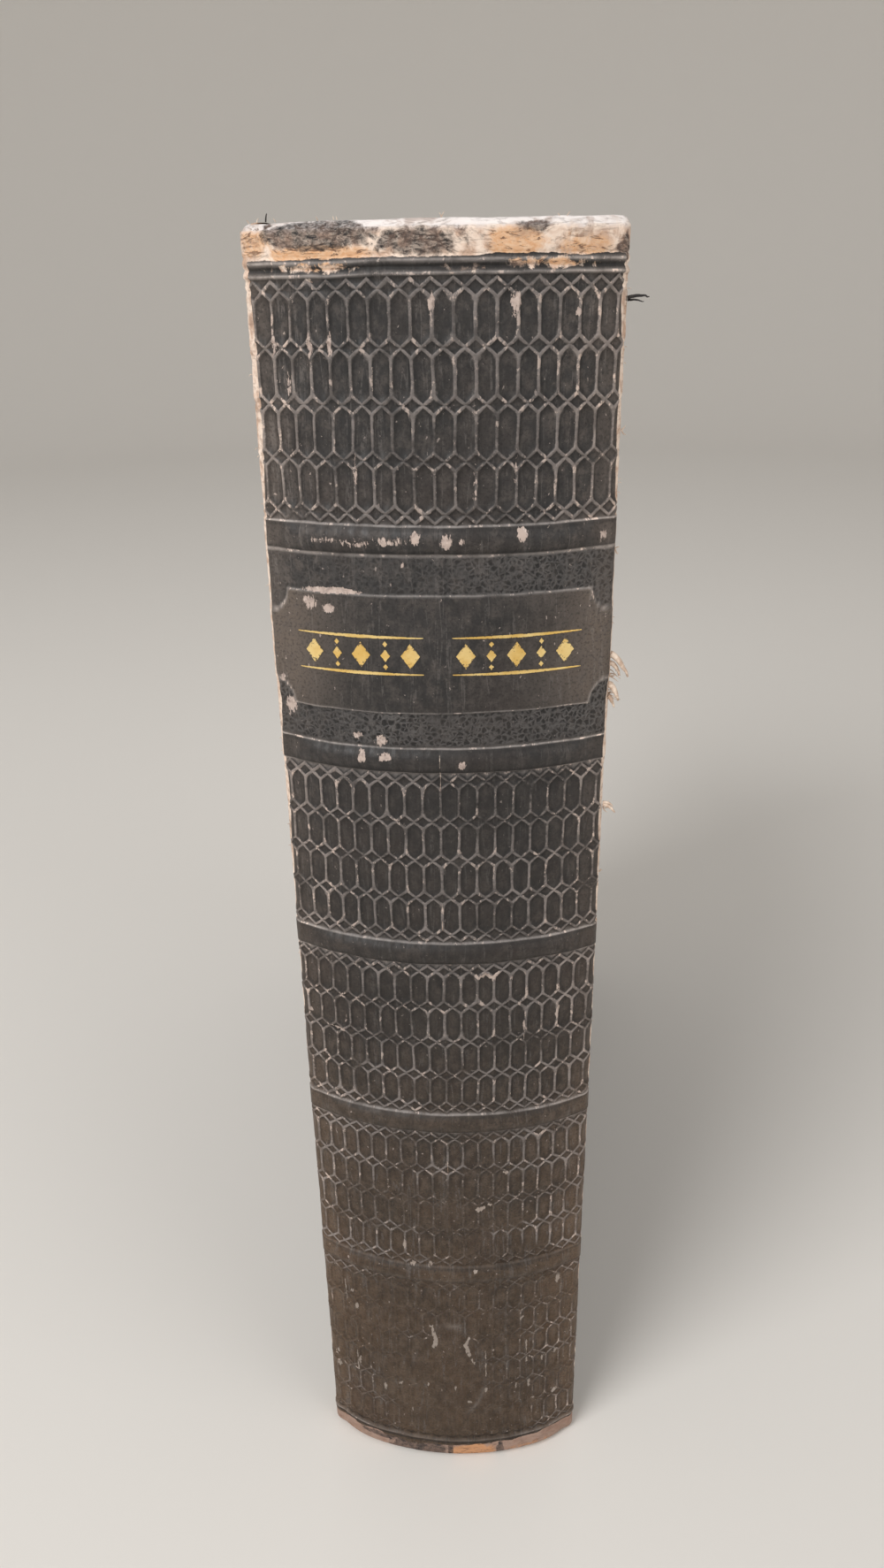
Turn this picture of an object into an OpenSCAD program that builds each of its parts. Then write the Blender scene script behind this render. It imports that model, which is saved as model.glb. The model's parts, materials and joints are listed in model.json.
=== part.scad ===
// An old quarto book bound in dark embossed leather, standing on its tail.
// The spine faces -Y, the front cover is at +X and the back cover at -X.
// The origin is at the middle of the book's footprint, at the tail edges.

/* [Book] */
// Height of the covers from tail to head
book_h = 290; // [260:1:340]
// Thickness over both covers
book_w = 64; // [54:1:84]
// Depth from the spine's front line to the fore-edge of the covers
book_d = 228; // [180:1:280]
// How far the covers stand out beyond the pages
square_w = 4; // [3:0.5:7]
// Hollow of the pages' fore-edge
fore_hollow = 7; // [3:0.5:10]

/* [Covers] */
// Thickness of a board
board_t = 3.2; // [2:0.1:5]
// Thickness of the leather
leather_t = 1; // [0.7:0.1:1.3]
// Width of the leather folded over the inner face of a board
turn_in_w = 15; // [8:1:25]
// Thickness of the pared leather where it is folded in
turn_in_t = 0.5; // [0.3:0.1:0.8]
// Radius of the worn corners of the covers
corner_r = 3; // [1.5:0.5:8]
// Radius along the edges of the covers
edge_r = 1.2; // [0.4:0.1:2]
// Thickness of the endpapers
paper_t = 0.3; // [0.2:0.05:0.5]
// Width of turned-in leather left bare round a pastedown
pastedown_margin = 4; // [2:0.5:7]
// Radius of the corners of the turn-ins and the pastedowns
window_r = 0.5; // [0.3:0.1:2]

/* [Spine] */
// Depth of the rounded back from its front line to its sides
spine_b = 10.3; // [8:0.1:13]
// Radius of the leather where the back turns into the joints
shoulder_r = 3; // [2.6:0.1:4]
// Straight run of leather from that radius to the joint
joint_run = 4.2; // [3.5:0.1:6]
// Sharpness of the crease between the back and the shoulders
crease = 0.995; // [0.98:0.001:1]
// Radius of the leather's fold at head and tail
cap_r = 1.6; // [1:0.1:2]
// How far the folded caps at head and tail reach in over the pages
cap_w = 3.1; // [2.7:0.1:4]
// Length of the leather folded in behind the spine lining
spine_turn_in = 12; // [8:1:18]
// Thickness of the card that lines the spine leather
lining_t = 0.6; // [0.4:0.1:1]
// Depth of the flattened paper tube behind the lining
tube_w = 1; // [0.8:0.1:1.5]
// Thickness of the tube's paper
tube_t = 0.3; // [0.2:0.05:0.35]
// Thickness of the cloth glued to the pages' back
mull_t = 0.4; // [0.3:0.1:0.6]
// How far the cloth stops short of the pages' ends
mull_short = 10; // [4:1:20]

/* [Raised bands] */
// Height of the lowest band above the tail
tail_panel = 65; // [50:1:75]
// Distance of the highest band from the head
head_panel = 50.3; // [40:0.1:60]
// How much taller each panel is than the one above it
panel_step = 1.5; // [0:0.1:2]
// Width of a band
band_w = 5.2; // [4.4:0.1:7]
// Height of a band over the leather
band_h = 1.3; // [0.8:0.1:1.6]
// Length over which a band's ends slope down to the sides
band_slope = 7; // [4:0.5:10]
// How far the strip of card in a band stops short of that slope
core_short = 2; // [1:0.5:5]

/* [Title panel] */
// Height of the raised bare panel
label_h = 22; // [14:1:26]
// Width of the raised bare panel
label_w = 62; // [40:1:62]
// How far the panel stands out
label_t = 0.35; // [0.2:0.05:0.6]
// Radius of the bites at the panel's corners
label_bite = 4; // [1:0.5:5]

/* [Tooled lines] */
// Distance of the outer line at head and tail from the edge
line_inset = 6.4; // [5:0.1:9]
// Distance between the two lines at the head
line_gap = 1.9; // [1.2:0.1:3]
// Radius of a line
line_r = 0.3; // [0.2:0.05:0.4]

/* [Lattice] */
// Width of a long cell, round the back
cell_w = 3.5; // [3:0.1:6]
// Height of a row of long cells
cell_h = 8.7; // [7:0.1:12]
// Height of the small diamonds between the rows
diamond_h = 2.9; // [2:0.1:4]
// Width of the ridges
ridge_w = 0.6; // [0.4:0.05:0.9]
// Depth of the cells
cell_t = 0.35; // [0.2:0.05:0.5]
// Smooth leather left between the lattice and a band or line
panel_margin = 0.4; // [0:0.1:2]
// Cells rubbed smooth on each side of the middle of the tail panel, below its top row
rubbed_cells = 5; // [0:1:9]

/* [Sewing] */
// Diameter of a sewing cord
cord_d = 1.7; // [1:0.1:2.5]
// Diameter of a headband
headband_d = 2.2; // [1.4:0.1:2.6]

/* [Clearances] */
// Film of paste between glued layers
paste = 0.05; // [0.03:0.01:0.08]
// Gap between the spine's leather and the card that lines it
lining_gap = 0.15; // [0.1:0.01:0.2]
// Angle by which the layers under the leather stop short of the back's sides
layer_margin = 1; // [0.5:0.1:3]
// Space between the joint and the pages' shoulder
shoulder_drop = 0.5; // [0.3:0.1:1]
// Gap at the joint between the spine's leather and a cover's
hinge_gap = 0.3; // [0.3:0.05:0.6]
// Gap between a closed cover and the flyleaf below it
closing_gap = 0.3; // [0.3:0.05:0.8]
// How far a board stands back from the leather's edge at the joint
board_set_back = 0.4; // [0.2:0.1:1]
// Gap round a sewing cord in its groove
cord_gap = 0.15; // [0.1:0.05:0.3]
// Gap between the pages' shoulder and the leather over it
shoulder_gap = 0.8; // [0.5:0.1:0.9]

/* [Hidden] */

bands = 5;
// Room that a cut takes past the solid that it cuts, and a share by which a shape is drawn wide
over = 1;
wide = 1.5;

// Facets of the layers under the leather, the cords, the small round shapes and the tooled lines
layer_fn = 36;
cord_fn = 13;
round_fn = 16;
line_fn = 4;

// The back's outline: a wide arc that meets a small arc at each side at a slight crease,
// then a straight run to the joint
side_x = book_w / 2;
corner_x = side_x - shoulder_r;
smooth_r = (pow(corner_x, 2) + pow(spine_b, 2) - pow(shoulder_r, 2)) / (2 * (spine_b - shoulder_r));
back_r = crease * smooth_r;
half_a = atan(corner_x / (back_r - spine_b));
joint_y = spine_b + joint_run;

// Layers from the spine's leather to the pages, as radii of the wide arc; the pages also stay
// clear of the facets inside the cloth
leather_in_r = back_r - leather_t;
lining_out_r = leather_in_r - lining_gap;
lining_in_r = lining_out_r - lining_t;
turn_r = lining_in_r - paste;
tube_out_r = turn_r;
tube_in_r = tube_out_r - tube_w;
tube_end_a = tube_t * 180 / (PI * tube_out_r);
mull_out_r = tube_in_r - paste;
mull_in_r = mull_out_r - mull_t;
pages_r = mull_in_r * cos(180 / layer_fn) - paste;
layer_a = half_a - layer_margin;

// Layers from a cover's leather to the pages, as distances from the middle
board_out_x = side_x - leather_t - paste;
board_in_x = board_out_x - board_t;
turn_out_x = board_in_x - paste;
turn_in_x = turn_out_x - turn_in_t;
pastedown_out_x = turn_in_x - paste;
pastedown_in_x = pastedown_out_x - paper_t;
flyleaf_out_x = pastedown_in_x - closing_gap;
flyleaf_in_x = flyleaf_out_x - paper_t;
pages_x = flyleaf_in_x - paste;

cover_y = joint_y + hinge_gap;
board_y = cover_y + board_set_back;
shoulder_x = side_x - leather_t - shoulder_gap;
shoulder_y = joint_y - shoulder_drop;
pages_y = book_d - square_w;
pages_top = book_h - square_w;

// A band's round section, and its solid core under the leather
band_r = (pow(band_w / 2, 2) + pow(band_h, 2)) / (2 * band_h);
band_in = band_r - band_h;
core_a = asin((corner_x - band_slope - core_short) / back_r);

// Cells that would go round the whole wide arc, and how many stand on each side of the middle
cells = 4 * round(PI * back_r / (2 * cell_w));
cell_a = 360 / cells;
side_cells = floor(half_a / cell_a);

// Facets of the wide arc, one for each cell
arc_fn = cells;

// Height of a band's middle, where 0 is the lowest band
pitch = (book_h - tail_panel - head_panel) / (bands - 1);
function band_z(i) = tail_panel + i * (pitch + panel_step * (bands - 1 - i) / 2);

module place() {
  translate([0, -(book_d - band_h) / 2, 0]) children();
}

// A ring round the wide arc's centre, from a flat shape whose x is the radius
module ring(angle, fn = layer_fn) {
  translate([0, back_r, 0])
    rotate([0, 0, -90 - angle])
      rotate_extrude(angle = 2 * angle, $fn = fn)
        children();
}

module layer(out_r, in_r, z0, z1, angle = layer_a, fn = layer_fn) {
  ring(angle, fn) translate([in_r, z0]) square([out_r - in_r, z1 - z0]);
}

module fold_cut(r) {
  difference() {
    translate([-over, -over]) square(r + over);
    translate([r, r]) circle(r = r, $fn = round_fn);
  }
}

// Half of a round slab's section, with folded edges at head and tail
module slab_section() {
  difference() {
    square([back_r, book_h]);
    translate([back_r, 0]) mirror([1, 0]) fold_cut(cap_r);
    translate([back_r, book_h]) rotate(180) fold_cut(cap_r);
  }
}

// The back's outline seen from above, without its wide arc, cut off at y1
module back_plan(inset, y1) {
  far_x = wide * corner_x;
  far_y = back_r - wide * (back_r - spine_b);
  polygon([[-corner_x, spine_b], [-far_x, far_y], [far_x, far_y], [corner_x, spine_b]]);
  translate([inset - side_x, spine_b]) square([2 * (side_x - inset), y1 - spine_b]);
  for (side = [-1, 1])
    translate([side * corner_x, spine_b]) circle(r = shoulder_r - inset, $fn = round_fn);
}

// The room inside the back, inset from its outer face by one amount in front and one at the sides
module back_room(inset, side_inset, z0, z1) {
  translate([0, 0, z0]) intersection() {
    translate([0, back_r, 0]) cylinder(r = back_r - inset, h = z1 - z0, $fn = arc_fn);
    linear_extrude(z1 - z0) back_plan(side_inset, joint_y + over);
  }
}

module spine_wall() {
  difference() {
    intersection() {
      translate([0, back_r, 0]) rotate_extrude($fn = arc_fn) slab_section();
      linear_extrude(book_h) back_plan(0, joint_y);
      translate([-side_x, joint_y + over, 0])
        rotate([90, 0, 0]) linear_extrude(joint_y + 2 * over) round_bar(book_w, book_h, cap_r);
    }
    back_room(leather_t, leather_t, leather_t, book_h - leather_t);
    back_room(cap_w, leather_t + shoulder_gap, -over, book_h + over);
  }
}

// Leather folded in at head and tail, behind the lining
module spine_turn_ins() {
  for (z = [leather_t / 2, book_h - leather_t / 2 - spine_turn_in])
    layer(turn_r, turn_r - turn_in_t, z, z + spine_turn_in);
}

module tooled_lines() {
  for (z = [line_inset, book_h - line_inset, book_h - line_inset - line_gap])
    ring(layer_a, arc_fn) translate([back_r, z]) circle(r = line_r, $fn = line_fn);
}

// Seen from above, what a band may fill: its ends slope down into the leather at the sides
module band_plan() {
  inner_x = corner_x - band_slope;
  inner_y = back_r - sqrt(pow(back_r + band_h, 2) - pow(inner_x, 2));
  outer_y = back_r - sqrt(pow(back_r - leather_t / 2, 2) - pow(corner_x, 2));
  polygon([[-corner_x, outer_y], [-inner_x, inner_y], [-inner_x, -band_h - over],
           [inner_x, -band_h - over], [inner_x, inner_y], [corner_x, outer_y],
           [corner_x, back_r], [-corner_x, back_r]]);
}

module band(i) {
  intersection() {
    ring(half_a, arc_fn) intersection() {
      translate([back_r - band_in, band_z(i)]) circle(r = band_r, $fn = round_fn);
      translate([back_r - leather_t / 2, 0]) square([band_h + over, book_h]);
    }
    linear_extrude(book_h) band_plan();
  }
}

module label_pad() {
  z = (band_z(bands - 2) + band_z(bands - 1)) / 2;
  intersection() {
    layer(back_r + label_t, back_r - leather_t / 2, z - label_h, z + label_h, layer_a, arc_fn);
    translate([0, back_r, z]) rotate([90, 0, 0]) linear_extrude(back_r + over) difference() {
      square([label_w, label_h], center = true);
      for (x = [-1, 1], y = [-1, 1])
        translate([x * label_w / 2, y * label_h / 2]) circle(r = label_bite, $fn = round_fn);
    }
  }
}

// One long cell's outline about its lower tip, set in by half a ridge
module cell_outline(pitch_z) {
  a = PI * back_r / cells;
  b = diamond_h / 2;
  slope = b / a;
  tip = ridge_w / 2 * sqrt(1 + slope * slope);
  side = a - ridge_w / 2;
  shoulder = tip + slope * side;
  polygon([[0, tip], [side, shoulder], [side, pitch_z - shoulder],
           [0, pitch_z - tip], [-side, pitch_z - shoulder], [-side, shoulder]]);
}

// Rows of long cells between two heights, with a row of diamonds left standing at each tip
module lattice_cells(z0, z1, rubbed = 0) {
  low = z0 + panel_margin + diamond_h / 2;
  high = z1 - panel_margin - diamond_h / 2;
  rows = max(1, round((high - low) / cell_h));
  pitch_z = (high - low) / rows;
  for (row = [0 : rows - 1], k = [-side_cells : side_cells - 1])
    if (row == rows - 1 || abs(k + 0.5) > rubbed)
      translate([0, back_r, 0])
        rotate([0, 0, (k + 0.5) * cell_a])
          translate([0, cell_t - back_r, low + row * pitch_z])
            rotate([90, 0, 0]) linear_extrude(over) cell_outline(pitch_z);
}

module lattice() {
  head_line = book_h - line_inset - line_gap - line_r;
  lattice_cells(line_inset + line_r, band_z(0) - band_w / 2, rubbed_cells);
  for (i = [0 : bands - 3])
    lattice_cells(band_z(i) + band_w / 2, band_z(i + 1) - band_w / 2);
  lattice_cells(band_z(bands - 1) + band_w / 2, head_line);
}

module band_core_section(i, film) {
  intersection() {
    translate([back_r - band_in, band_z(i)]) circle(r = band_r - leather_t - film, $fn = round_fn);
    translate([leather_in_r, 0]) square([leather_t + band_h, book_h]);
  }
}

module spine_leather() {
  color("#3b3636") place() difference() {
    union() {
      spine_wall();
      spine_turn_ins();
      tooled_lines();
      label_pad();
      for (i = [0 : bands - 1]) band(i);
    }
    for (i = [0 : bands - 1])
      ring(core_a) translate([-paste, 0]) band_core_section(i, 0);
    lattice();
  }
}

module false_band(i) {
  end_a = paste * 180 / (PI * back_r);
  color("#a58a66") place() ring(core_a - end_a) band_core_section(i, paste);
}

module spine_lining() {
  cover = leather_t + paste;
  color("#8d7a5c") place() layer(lining_out_r, lining_in_r, cover, book_h - cover);
}

module spine_tube() {
  end = spine_turn_in + over;
  color("#c9b48c") place() difference() {
    layer(tube_out_r, tube_in_r, end, book_h - end);
    layer(tube_out_r - tube_t, tube_in_r + tube_t, 0, book_h, layer_a - tube_end_a);
  }
}

module spine_mull() {
  end = square_w + mull_short;
  color("#d8cfb4") place() layer(mull_out_r, mull_in_r, end, book_h - end);
}

module text_plan() {
  difference() {
    union() {
      intersection() {
        translate([0, back_r]) circle(r = pages_r, $fn = layer_fn);
        translate([-shoulder_x, 0]) square([2 * shoulder_x, shoulder_y]);
      }
      translate([-pages_x, shoulder_y - over]) square([2 * pages_x, pages_y - shoulder_y + over]);
    }
    hollow_r = (pow(pages_x, 2) + pow(fore_hollow, 2)) / (2 * fore_hollow);
    translate([0, pages_y - fore_hollow + hollow_r]) circle(r = hollow_r, $fn = arc_fn);
  }
}

module text_block() {
  groove = cord_d + 2 * cord_gap;
  groove_a = asin(side_x / pages_r);
  color("#d9c79c") place() difference() {
    translate([0, 0, square_w]) linear_extrude(pages_top - square_w) text_plan();
    for (i = [0 : bands - 1])
      layer(pages_r + over, pages_r - groove, band_z(i) - groove / 2, band_z(i) + groove / 2,
            groove_a);
  }
}

module sewing_cord(i) {
  color("#b8a071") place()
    ring(layer_a) translate([pages_r - cord_gap - cord_d / 2, band_z(i)])
      circle(d = cord_d, $fn = cord_fn);
}

module headband(z) {
  color("#a33b32") place()
    ring(layer_a) translate([pages_r - headband_d / 2, z]) circle(d = headband_d, $fn = cord_fn);
}

module flyleaf() {
  fold_y = shoulder_y + paste;
  color("#cdb98c") place() translate([0, 0, square_w]) linear_extrude(pages_top - square_w) {
    translate([flyleaf_in_x, fold_y]) square([paper_t, pages_y - fold_y - paste]);
    translate([flyleaf_in_x, fold_y]) square([shoulder_x - flyleaf_in_x, paper_t]);
  }
}

// A cover's face seen from its side, from y0 to the fore-edge, with worn corners
module cover_face(inset, y0, r) {
  y1 = book_d - inset;
  z1 = book_h - inset;
  translate([y0, inset]) square([y1 - r - y0, z1 - inset]);
  translate([y0, inset + r]) square([y1 - y0, z1 - inset - 2 * r]);
  for (z = [inset + r, z1 - r]) translate([y1 - r, z]) circle(r = r, $fn = round_fn);
}

module cover_slab(x0, x1, inset, y0, r) {
  translate([x0, 0, 0]) rotate([90, 0, 90]) linear_extrude(x1 - x0) cover_face(inset, y0, r);
}

module round_bar(w, h, r) {
  translate([r, 0]) square([w - 2 * r, h]);
  translate([0, r]) square([w, h - 2 * r]);
  for (x = [r, w - r], y = [r, h - r]) translate([x, y]) circle(r = r, $fn = round_fn);
}

module board() {
  inset = leather_t + paste;
  color("#7c6a4f") place()
    cover_slab(board_in_x, board_out_x, inset, board_y, corner_r - leather_t);
}

module cover_leather() {
  t = side_x - turn_in_x;
  r = min(edge_r, turn_out_x - turn_in_x + board_t / 2);
  color("#3b3636") place() difference() {
    intersection() {
      cover_slab(turn_in_x, side_x, 0, cover_y, corner_r);
      translate([turn_in_x, cover_y - over - r, -over])
        linear_extrude(book_h + 2 * over) round_bar(t, book_d - cover_y + over + r, r);
      translate([turn_in_x, book_d + over, 0])
        rotate([90, 0, 0]) linear_extrude(book_d + over) round_bar(t, book_h, r);
    }
    cover_slab(turn_out_x, board_out_x + paste, leather_t, cover_y - over, corner_r - leather_t);
    cover_slab(turn_in_x - over, board_in_x, turn_in_w, cover_y - over, window_r);
  }
}

module pastedown() {
  step = turn_in_w + paste;
  color("#cdb98c") place() difference() {
    union() {
      cover_slab(pastedown_in_x, pastedown_out_x, pastedown_margin, board_y, window_r);
      cover_slab(pastedown_in_x, board_in_x - paste, step, board_y, window_r);
    }
    cover_slab(pastedown_in_x - over, board_in_x - paste - paper_t, step + paper_t,
               board_y - over, window_r);
  }
}

text_block();
for (i = [1 : bands])
  sewing_cord(i - 1);
spine_mull();
spine_tube();
spine_lining();
for (i = [1 : bands])
  false_band(i - 1);
headband(pages_top + paste + headband_d / 2);  // headband_head
headband(square_w - paste - headband_d / 2);  // headband_tail
flyleaf();  // front_flyleaf
mirror([1, 0, 0]) flyleaf();  // back_flyleaf
spine_leather();
board();  // front_board
cover_leather();  // front_leather
pastedown();  // front_pastedown
mirror([1, 0, 0]) board();  // back_board
mirror([1, 0, 0]) cover_leather();  // back_leather
mirror([1, 0, 0]) pastedown();  // back_pastedown
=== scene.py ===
"""Builds the looks of an old leather-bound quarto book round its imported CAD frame."""

import json
import math
import random

import bpy
import numpy as np
from bpy.props import FloatProperty, FloatVectorProperty, IntProperty, PointerProperty
from bpy.types import Operator, Panel, PropertyGroup
from mathutils import Matrix, Vector


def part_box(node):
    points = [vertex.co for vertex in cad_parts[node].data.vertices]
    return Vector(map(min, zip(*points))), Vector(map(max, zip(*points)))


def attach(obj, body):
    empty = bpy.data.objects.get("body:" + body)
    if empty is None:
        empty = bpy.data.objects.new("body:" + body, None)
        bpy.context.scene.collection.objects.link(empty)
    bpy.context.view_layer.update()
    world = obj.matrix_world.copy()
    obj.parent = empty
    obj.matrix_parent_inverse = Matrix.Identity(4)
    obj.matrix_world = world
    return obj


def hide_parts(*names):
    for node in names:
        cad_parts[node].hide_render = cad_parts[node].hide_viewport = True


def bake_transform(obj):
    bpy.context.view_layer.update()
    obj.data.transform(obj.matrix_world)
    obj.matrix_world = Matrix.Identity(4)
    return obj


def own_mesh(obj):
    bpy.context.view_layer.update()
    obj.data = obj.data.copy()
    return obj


bl_info = {
    "name": "Antique leather book",
    "version": (1, 0, 0),
    "blender": (4, 5, 0),
    "location": "3D View > Sidebar > Book",
    "description": "Builds an old leather-bound book piece by piece over its CAD frame",
    "category": "Object",
}

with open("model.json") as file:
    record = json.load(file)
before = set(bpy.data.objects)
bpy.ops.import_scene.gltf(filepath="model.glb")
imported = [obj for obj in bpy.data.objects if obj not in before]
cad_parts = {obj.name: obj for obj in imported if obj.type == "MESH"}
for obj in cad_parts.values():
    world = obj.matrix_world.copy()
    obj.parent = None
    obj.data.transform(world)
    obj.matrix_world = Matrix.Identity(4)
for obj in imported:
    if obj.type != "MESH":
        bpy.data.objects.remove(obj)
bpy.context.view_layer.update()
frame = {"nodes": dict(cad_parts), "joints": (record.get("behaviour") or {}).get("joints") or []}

# ---------------------------------------------------------------------------
# Sizes that come from the frame, in metres
# ---------------------------------------------------------------------------
MM = 0.001
SPINE_LOW, SPINE_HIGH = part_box("spine_leather")
BOOK_H = SPINE_HIGH.z
SIDE_X = SPINE_HIGH.x
BAND_COUNT = 5
BAND_Z = [
    (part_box(f"false_band_{i}")[0].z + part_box(f"false_band_{i}")[1].z) / 2
    for i in range(1, BAND_COUNT + 1)
]
BLOCK_LOW, BLOCK_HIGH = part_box("text_block")
COVER_LOW, COVER_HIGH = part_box("front_leather")
FLYLEAF_LOW, FLYLEAF_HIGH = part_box("front_flyleaf")
PASTEDOWN_LOW, PASTEDOWN_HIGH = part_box("front_pastedown")
HINGE = Vector(next(j["pos_m"] for j in frame["joints"] if j["name"] == "front_hinge"))

# The back's outline seen from above: a wide arc, a small arc at each side, a straight leg
BAND_H = 1.3 * MM
FRONT_Y = SPINE_LOW.y + BAND_H
SHOULDER_R = 3 * MM
SPINE_B = 10.3 * MM
LEG_END = SPINE_HIGH.y - FRONT_Y
CORNER_X = SIDE_X - SHOULDER_R
BACK_R = 0.995 * (CORNER_X**2 + SPINE_B**2 - SHOULDER_R**2) / (2 * (SPINE_B - SHOULDER_R))
HALF_A = math.atan(CORNER_X / (BACK_R - SPINE_B))
ARC_S = BACK_R * HALF_A
SHOULDER_S = ARC_S + SHOULDER_R * (math.pi / 2 - HALF_A)
END_S = SHOULDER_S + LEG_END - SPINE_B

LEATHER_T = 1.0 * MM
CAP_R = 1.6 * MM
CAP_DEPTH = 3.1 * MM
SIDE_CAP_DEPTH = 1.8 * MM
GROOVE_DEPTH = 0.5 * MM


# ---------------------------------------------------------------------------
# Settings a user would change
# ---------------------------------------------------------------------------
class SpineSettings(PropertyGroup):
    cell_width: FloatProperty(
        name="Cell width", description="Width of a long cell, round the back", default=3.5 * MM,
        unit="LENGTH",
    )
    cell_height: FloatProperty(
        name="Cell height", description="Height of a row of long cells", default=8.7 * MM,
        unit="LENGTH",
    )
    diamond_height: FloatProperty(
        name="Diamond height", description="Height of the diamonds between rows", default=2.9 * MM,
        unit="LENGTH",
    )
    ridge_width: FloatProperty(
        name="Ridge width", description="Width of a ridge at its foot", default=0.78 * MM,
        unit="LENGTH",
    )
    cell_depth: FloatProperty(
        name="Cell depth", description="How deep the cells are pressed", default=0.36 * MM,
        unit="LENGTH",
    )
    band_width: FloatProperty(
        name="Band width", description="Width of a raised band", default=5.2 * MM, unit="LENGTH"
    )
    label_height: FloatProperty(
        name="Panel height", description="Height of the title panel", default=22 * MM, unit="LENGTH"
    )
    label_reach: FloatProperty(
        name="Panel reach", description="Half the title panel's length round the back",
        default=33 * MM, unit="LENGTH",
    )
    label_bite: FloatProperty(
        name="Panel bite", description="Radius of the bites at the panel's corners",
        default=4.4 * MM, unit="LENGTH",
    )
    label_rise: FloatProperty(
        name="Panel rise", description="How far the title panel stands out", default=0.33 * MM,
        unit="LENGTH",
    )
    waviness: FloatProperty(
        name="Waviness", description="How far age has moved the pattern", default=0.22 * MM,
        unit="LENGTH",
    )
    cell_colour: FloatVectorProperty(
        name="Cells", description="Leather in the cells", default=(0.0175, 0.0165, 0.0165),
        subtype="COLOR", size=3,
    )
    # Painted warm light bounced up from a tan floor: the cells turn browner towards the tail
    tail_bounce_colour: FloatVectorProperty(
        name="Tail", description="Browner leather towards the tail",
        default=(0.029, 0.0215, 0.0155), subtype="COLOR", size=3,
    )
    ridge_colour: FloatVectorProperty(
        name="Ridges", description="Rubbed grey of the ridges", default=(0.165, 0.146, 0.138),
        subtype="COLOR", size=3,
    )
    rub_colour: FloatVectorProperty(
        name="Scuffs", description="Bare leather in small scuffs", default=(0.50, 0.40, 0.35),
        subtype="COLOR", size=3,
    )
    worn_colour: FloatVectorProperty(
        name="Worn edges", description="Bare pale leather at the edges", default=(0.84, 0.69, 0.58),
        subtype="COLOR", size=3,
    )
    tan_colour: FloatVectorProperty(
        name="Tan", description="Bare orange leather", default=(0.66, 0.35, 0.17), subtype="COLOR",
        size=3,
    )


class CoverSettings(PropertyGroup):
    leather_colour: FloatVectorProperty(
        name="Leather", description="Leather of the covers", default=(0.022, 0.0195, 0.0185),
        subtype="COLOR", size=3,
    )
    grain_size: FloatProperty(
        name="Grain", description="Size of the leather's grain", default=0.9 * MM, unit="LENGTH"
    )
    grid_step: FloatProperty(
        name="Mesh step", description="Spacing of the cover's mesh", default=2.1 * MM, unit="LENGTH"
    )


class PagesSettings(PropertyGroup):
    paper_colour: FloatVectorProperty(
        name="Leaf edges", description="Toned edges of the leaves", default=(0.66, 0.525, 0.36),
        subtype="COLOR", size=3,
    )
    endpaper_colour: FloatVectorProperty(
        name="Endpapers", description="Toned endpapers", default=(0.70, 0.59, 0.43),
        subtype="COLOR", size=3,
    )
    gatherings: IntProperty(
        name="Gatherings", description="Folded sections of leaves", default=46, min=10, max=90
    )
    unevenness: FloatProperty(
        name="Unevenness", description="How far leaves stand back", default=0.35 * MM, unit="LENGTH"
    )
    silk_colour: FloatVectorProperty(
        name="Headband", description="Faded silk", default=(0.33, 0.075, 0.05), subtype="COLOR",
        size=3,
    )
    silk_pale: FloatVectorProperty(
        name="Headband, pale", description="Pale silk", default=(0.62, 0.50, 0.33), subtype="COLOR",
        size=3,
    )


class StageSettings(PropertyGroup):
    floor_colour: FloatVectorProperty(
        name="Floor", description="Plain pale floor", default=(0.78, 0.75, 0.71), subtype="COLOR",
        size=3,
    )
    focal: FloatProperty(
        name="Focal length", description="Focal length over the picture's height",
        default=1247 / 1773, min=0.1,
    )
    key_power: FloatProperty(
        name="Key light", description="Soft light from upper left", default=17, unit="POWER"
    )
    fill_power: FloatProperty(
        name="Fill light", description="Soft light from the right", default=5, unit="POWER"
    )
    ambient: FloatProperty(
        name="Ambient", description="Strength of the light from all round", default=0.5, min=0
    )


# ---------------------------------------------------------------------------
# Seeded noise for shapes
# ---------------------------------------------------------------------------
def cell_value(ix, iy, seed):
    """A fixed value from -1 to 1 for each whole-numbered cell."""
    h = ix.astype(np.uint64) * np.uint64(374761393) + iy.astype(np.uint64) * np.uint64(668265263)
    h = (h + np.uint64(seed * 1274126177)) & np.uint64(0xFFFFFFFF)
    h = ((h ^ (h >> np.uint64(13))) * np.uint64(1103515245)) & np.uint64(0xFFFFFFFF)
    h = ((h ^ (h >> np.uint64(15))) * np.uint64(2246822519)) & np.uint64(0xFFFFFFFF)
    return (h ^ (h >> np.uint64(16))).astype(float) / 0x7FFFFFFF - 1


def wander(x, y, size, seed, octaves=3):
    """Smooth noise from about -1 to 1, whose largest lumps are size across."""
    total, weight = 0, 1
    for octave in range(octaves):
        u = np.asarray(x) / size + 1000
        v = np.asarray(y) / size + 1000
        iu, iv = np.floor(u), np.floor(v)
        fu, fv = u - iu, v - iv
        fu, fv = fu * fu * (3 - 2 * fu), fv * fv * (3 - 2 * fv)
        corners = [cell_value(iu + a, iv + b, seed + octave) for a in (0, 1) for b in (0, 1)]
        low = corners[0] * (1 - fv) + corners[1] * fv
        high = corners[2] * (1 - fv) + corners[3] * fv
        total = total + weight * (low * (1 - fu) + high * fu)
        weight, size = weight / 2, size / 2
    return total / 1.6


def ease(low, high, x):
    t = np.clip((x - low) / (high - low), 0, 1)
    return t * t * (3 - 2 * t)


def bump_at(x, middle, width):
    return np.exp(-(((x - middle) / width) ** 2))


# ---------------------------------------------------------------------------
# Meshes
# ---------------------------------------------------------------------------
def grid_faces(rows, cols, closed=False):
    """Quads of a grid whose vertices run column by column within each row."""
    r = np.arange(rows if closed else rows - 1)
    c = np.arange(cols - 1)
    a = (r[:, None] * cols + c).ravel()
    b = (((r + 1) % rows)[:, None] * cols + c).ravel()
    return np.stack([a, a + 1, b + 1, b], axis=1)


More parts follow.
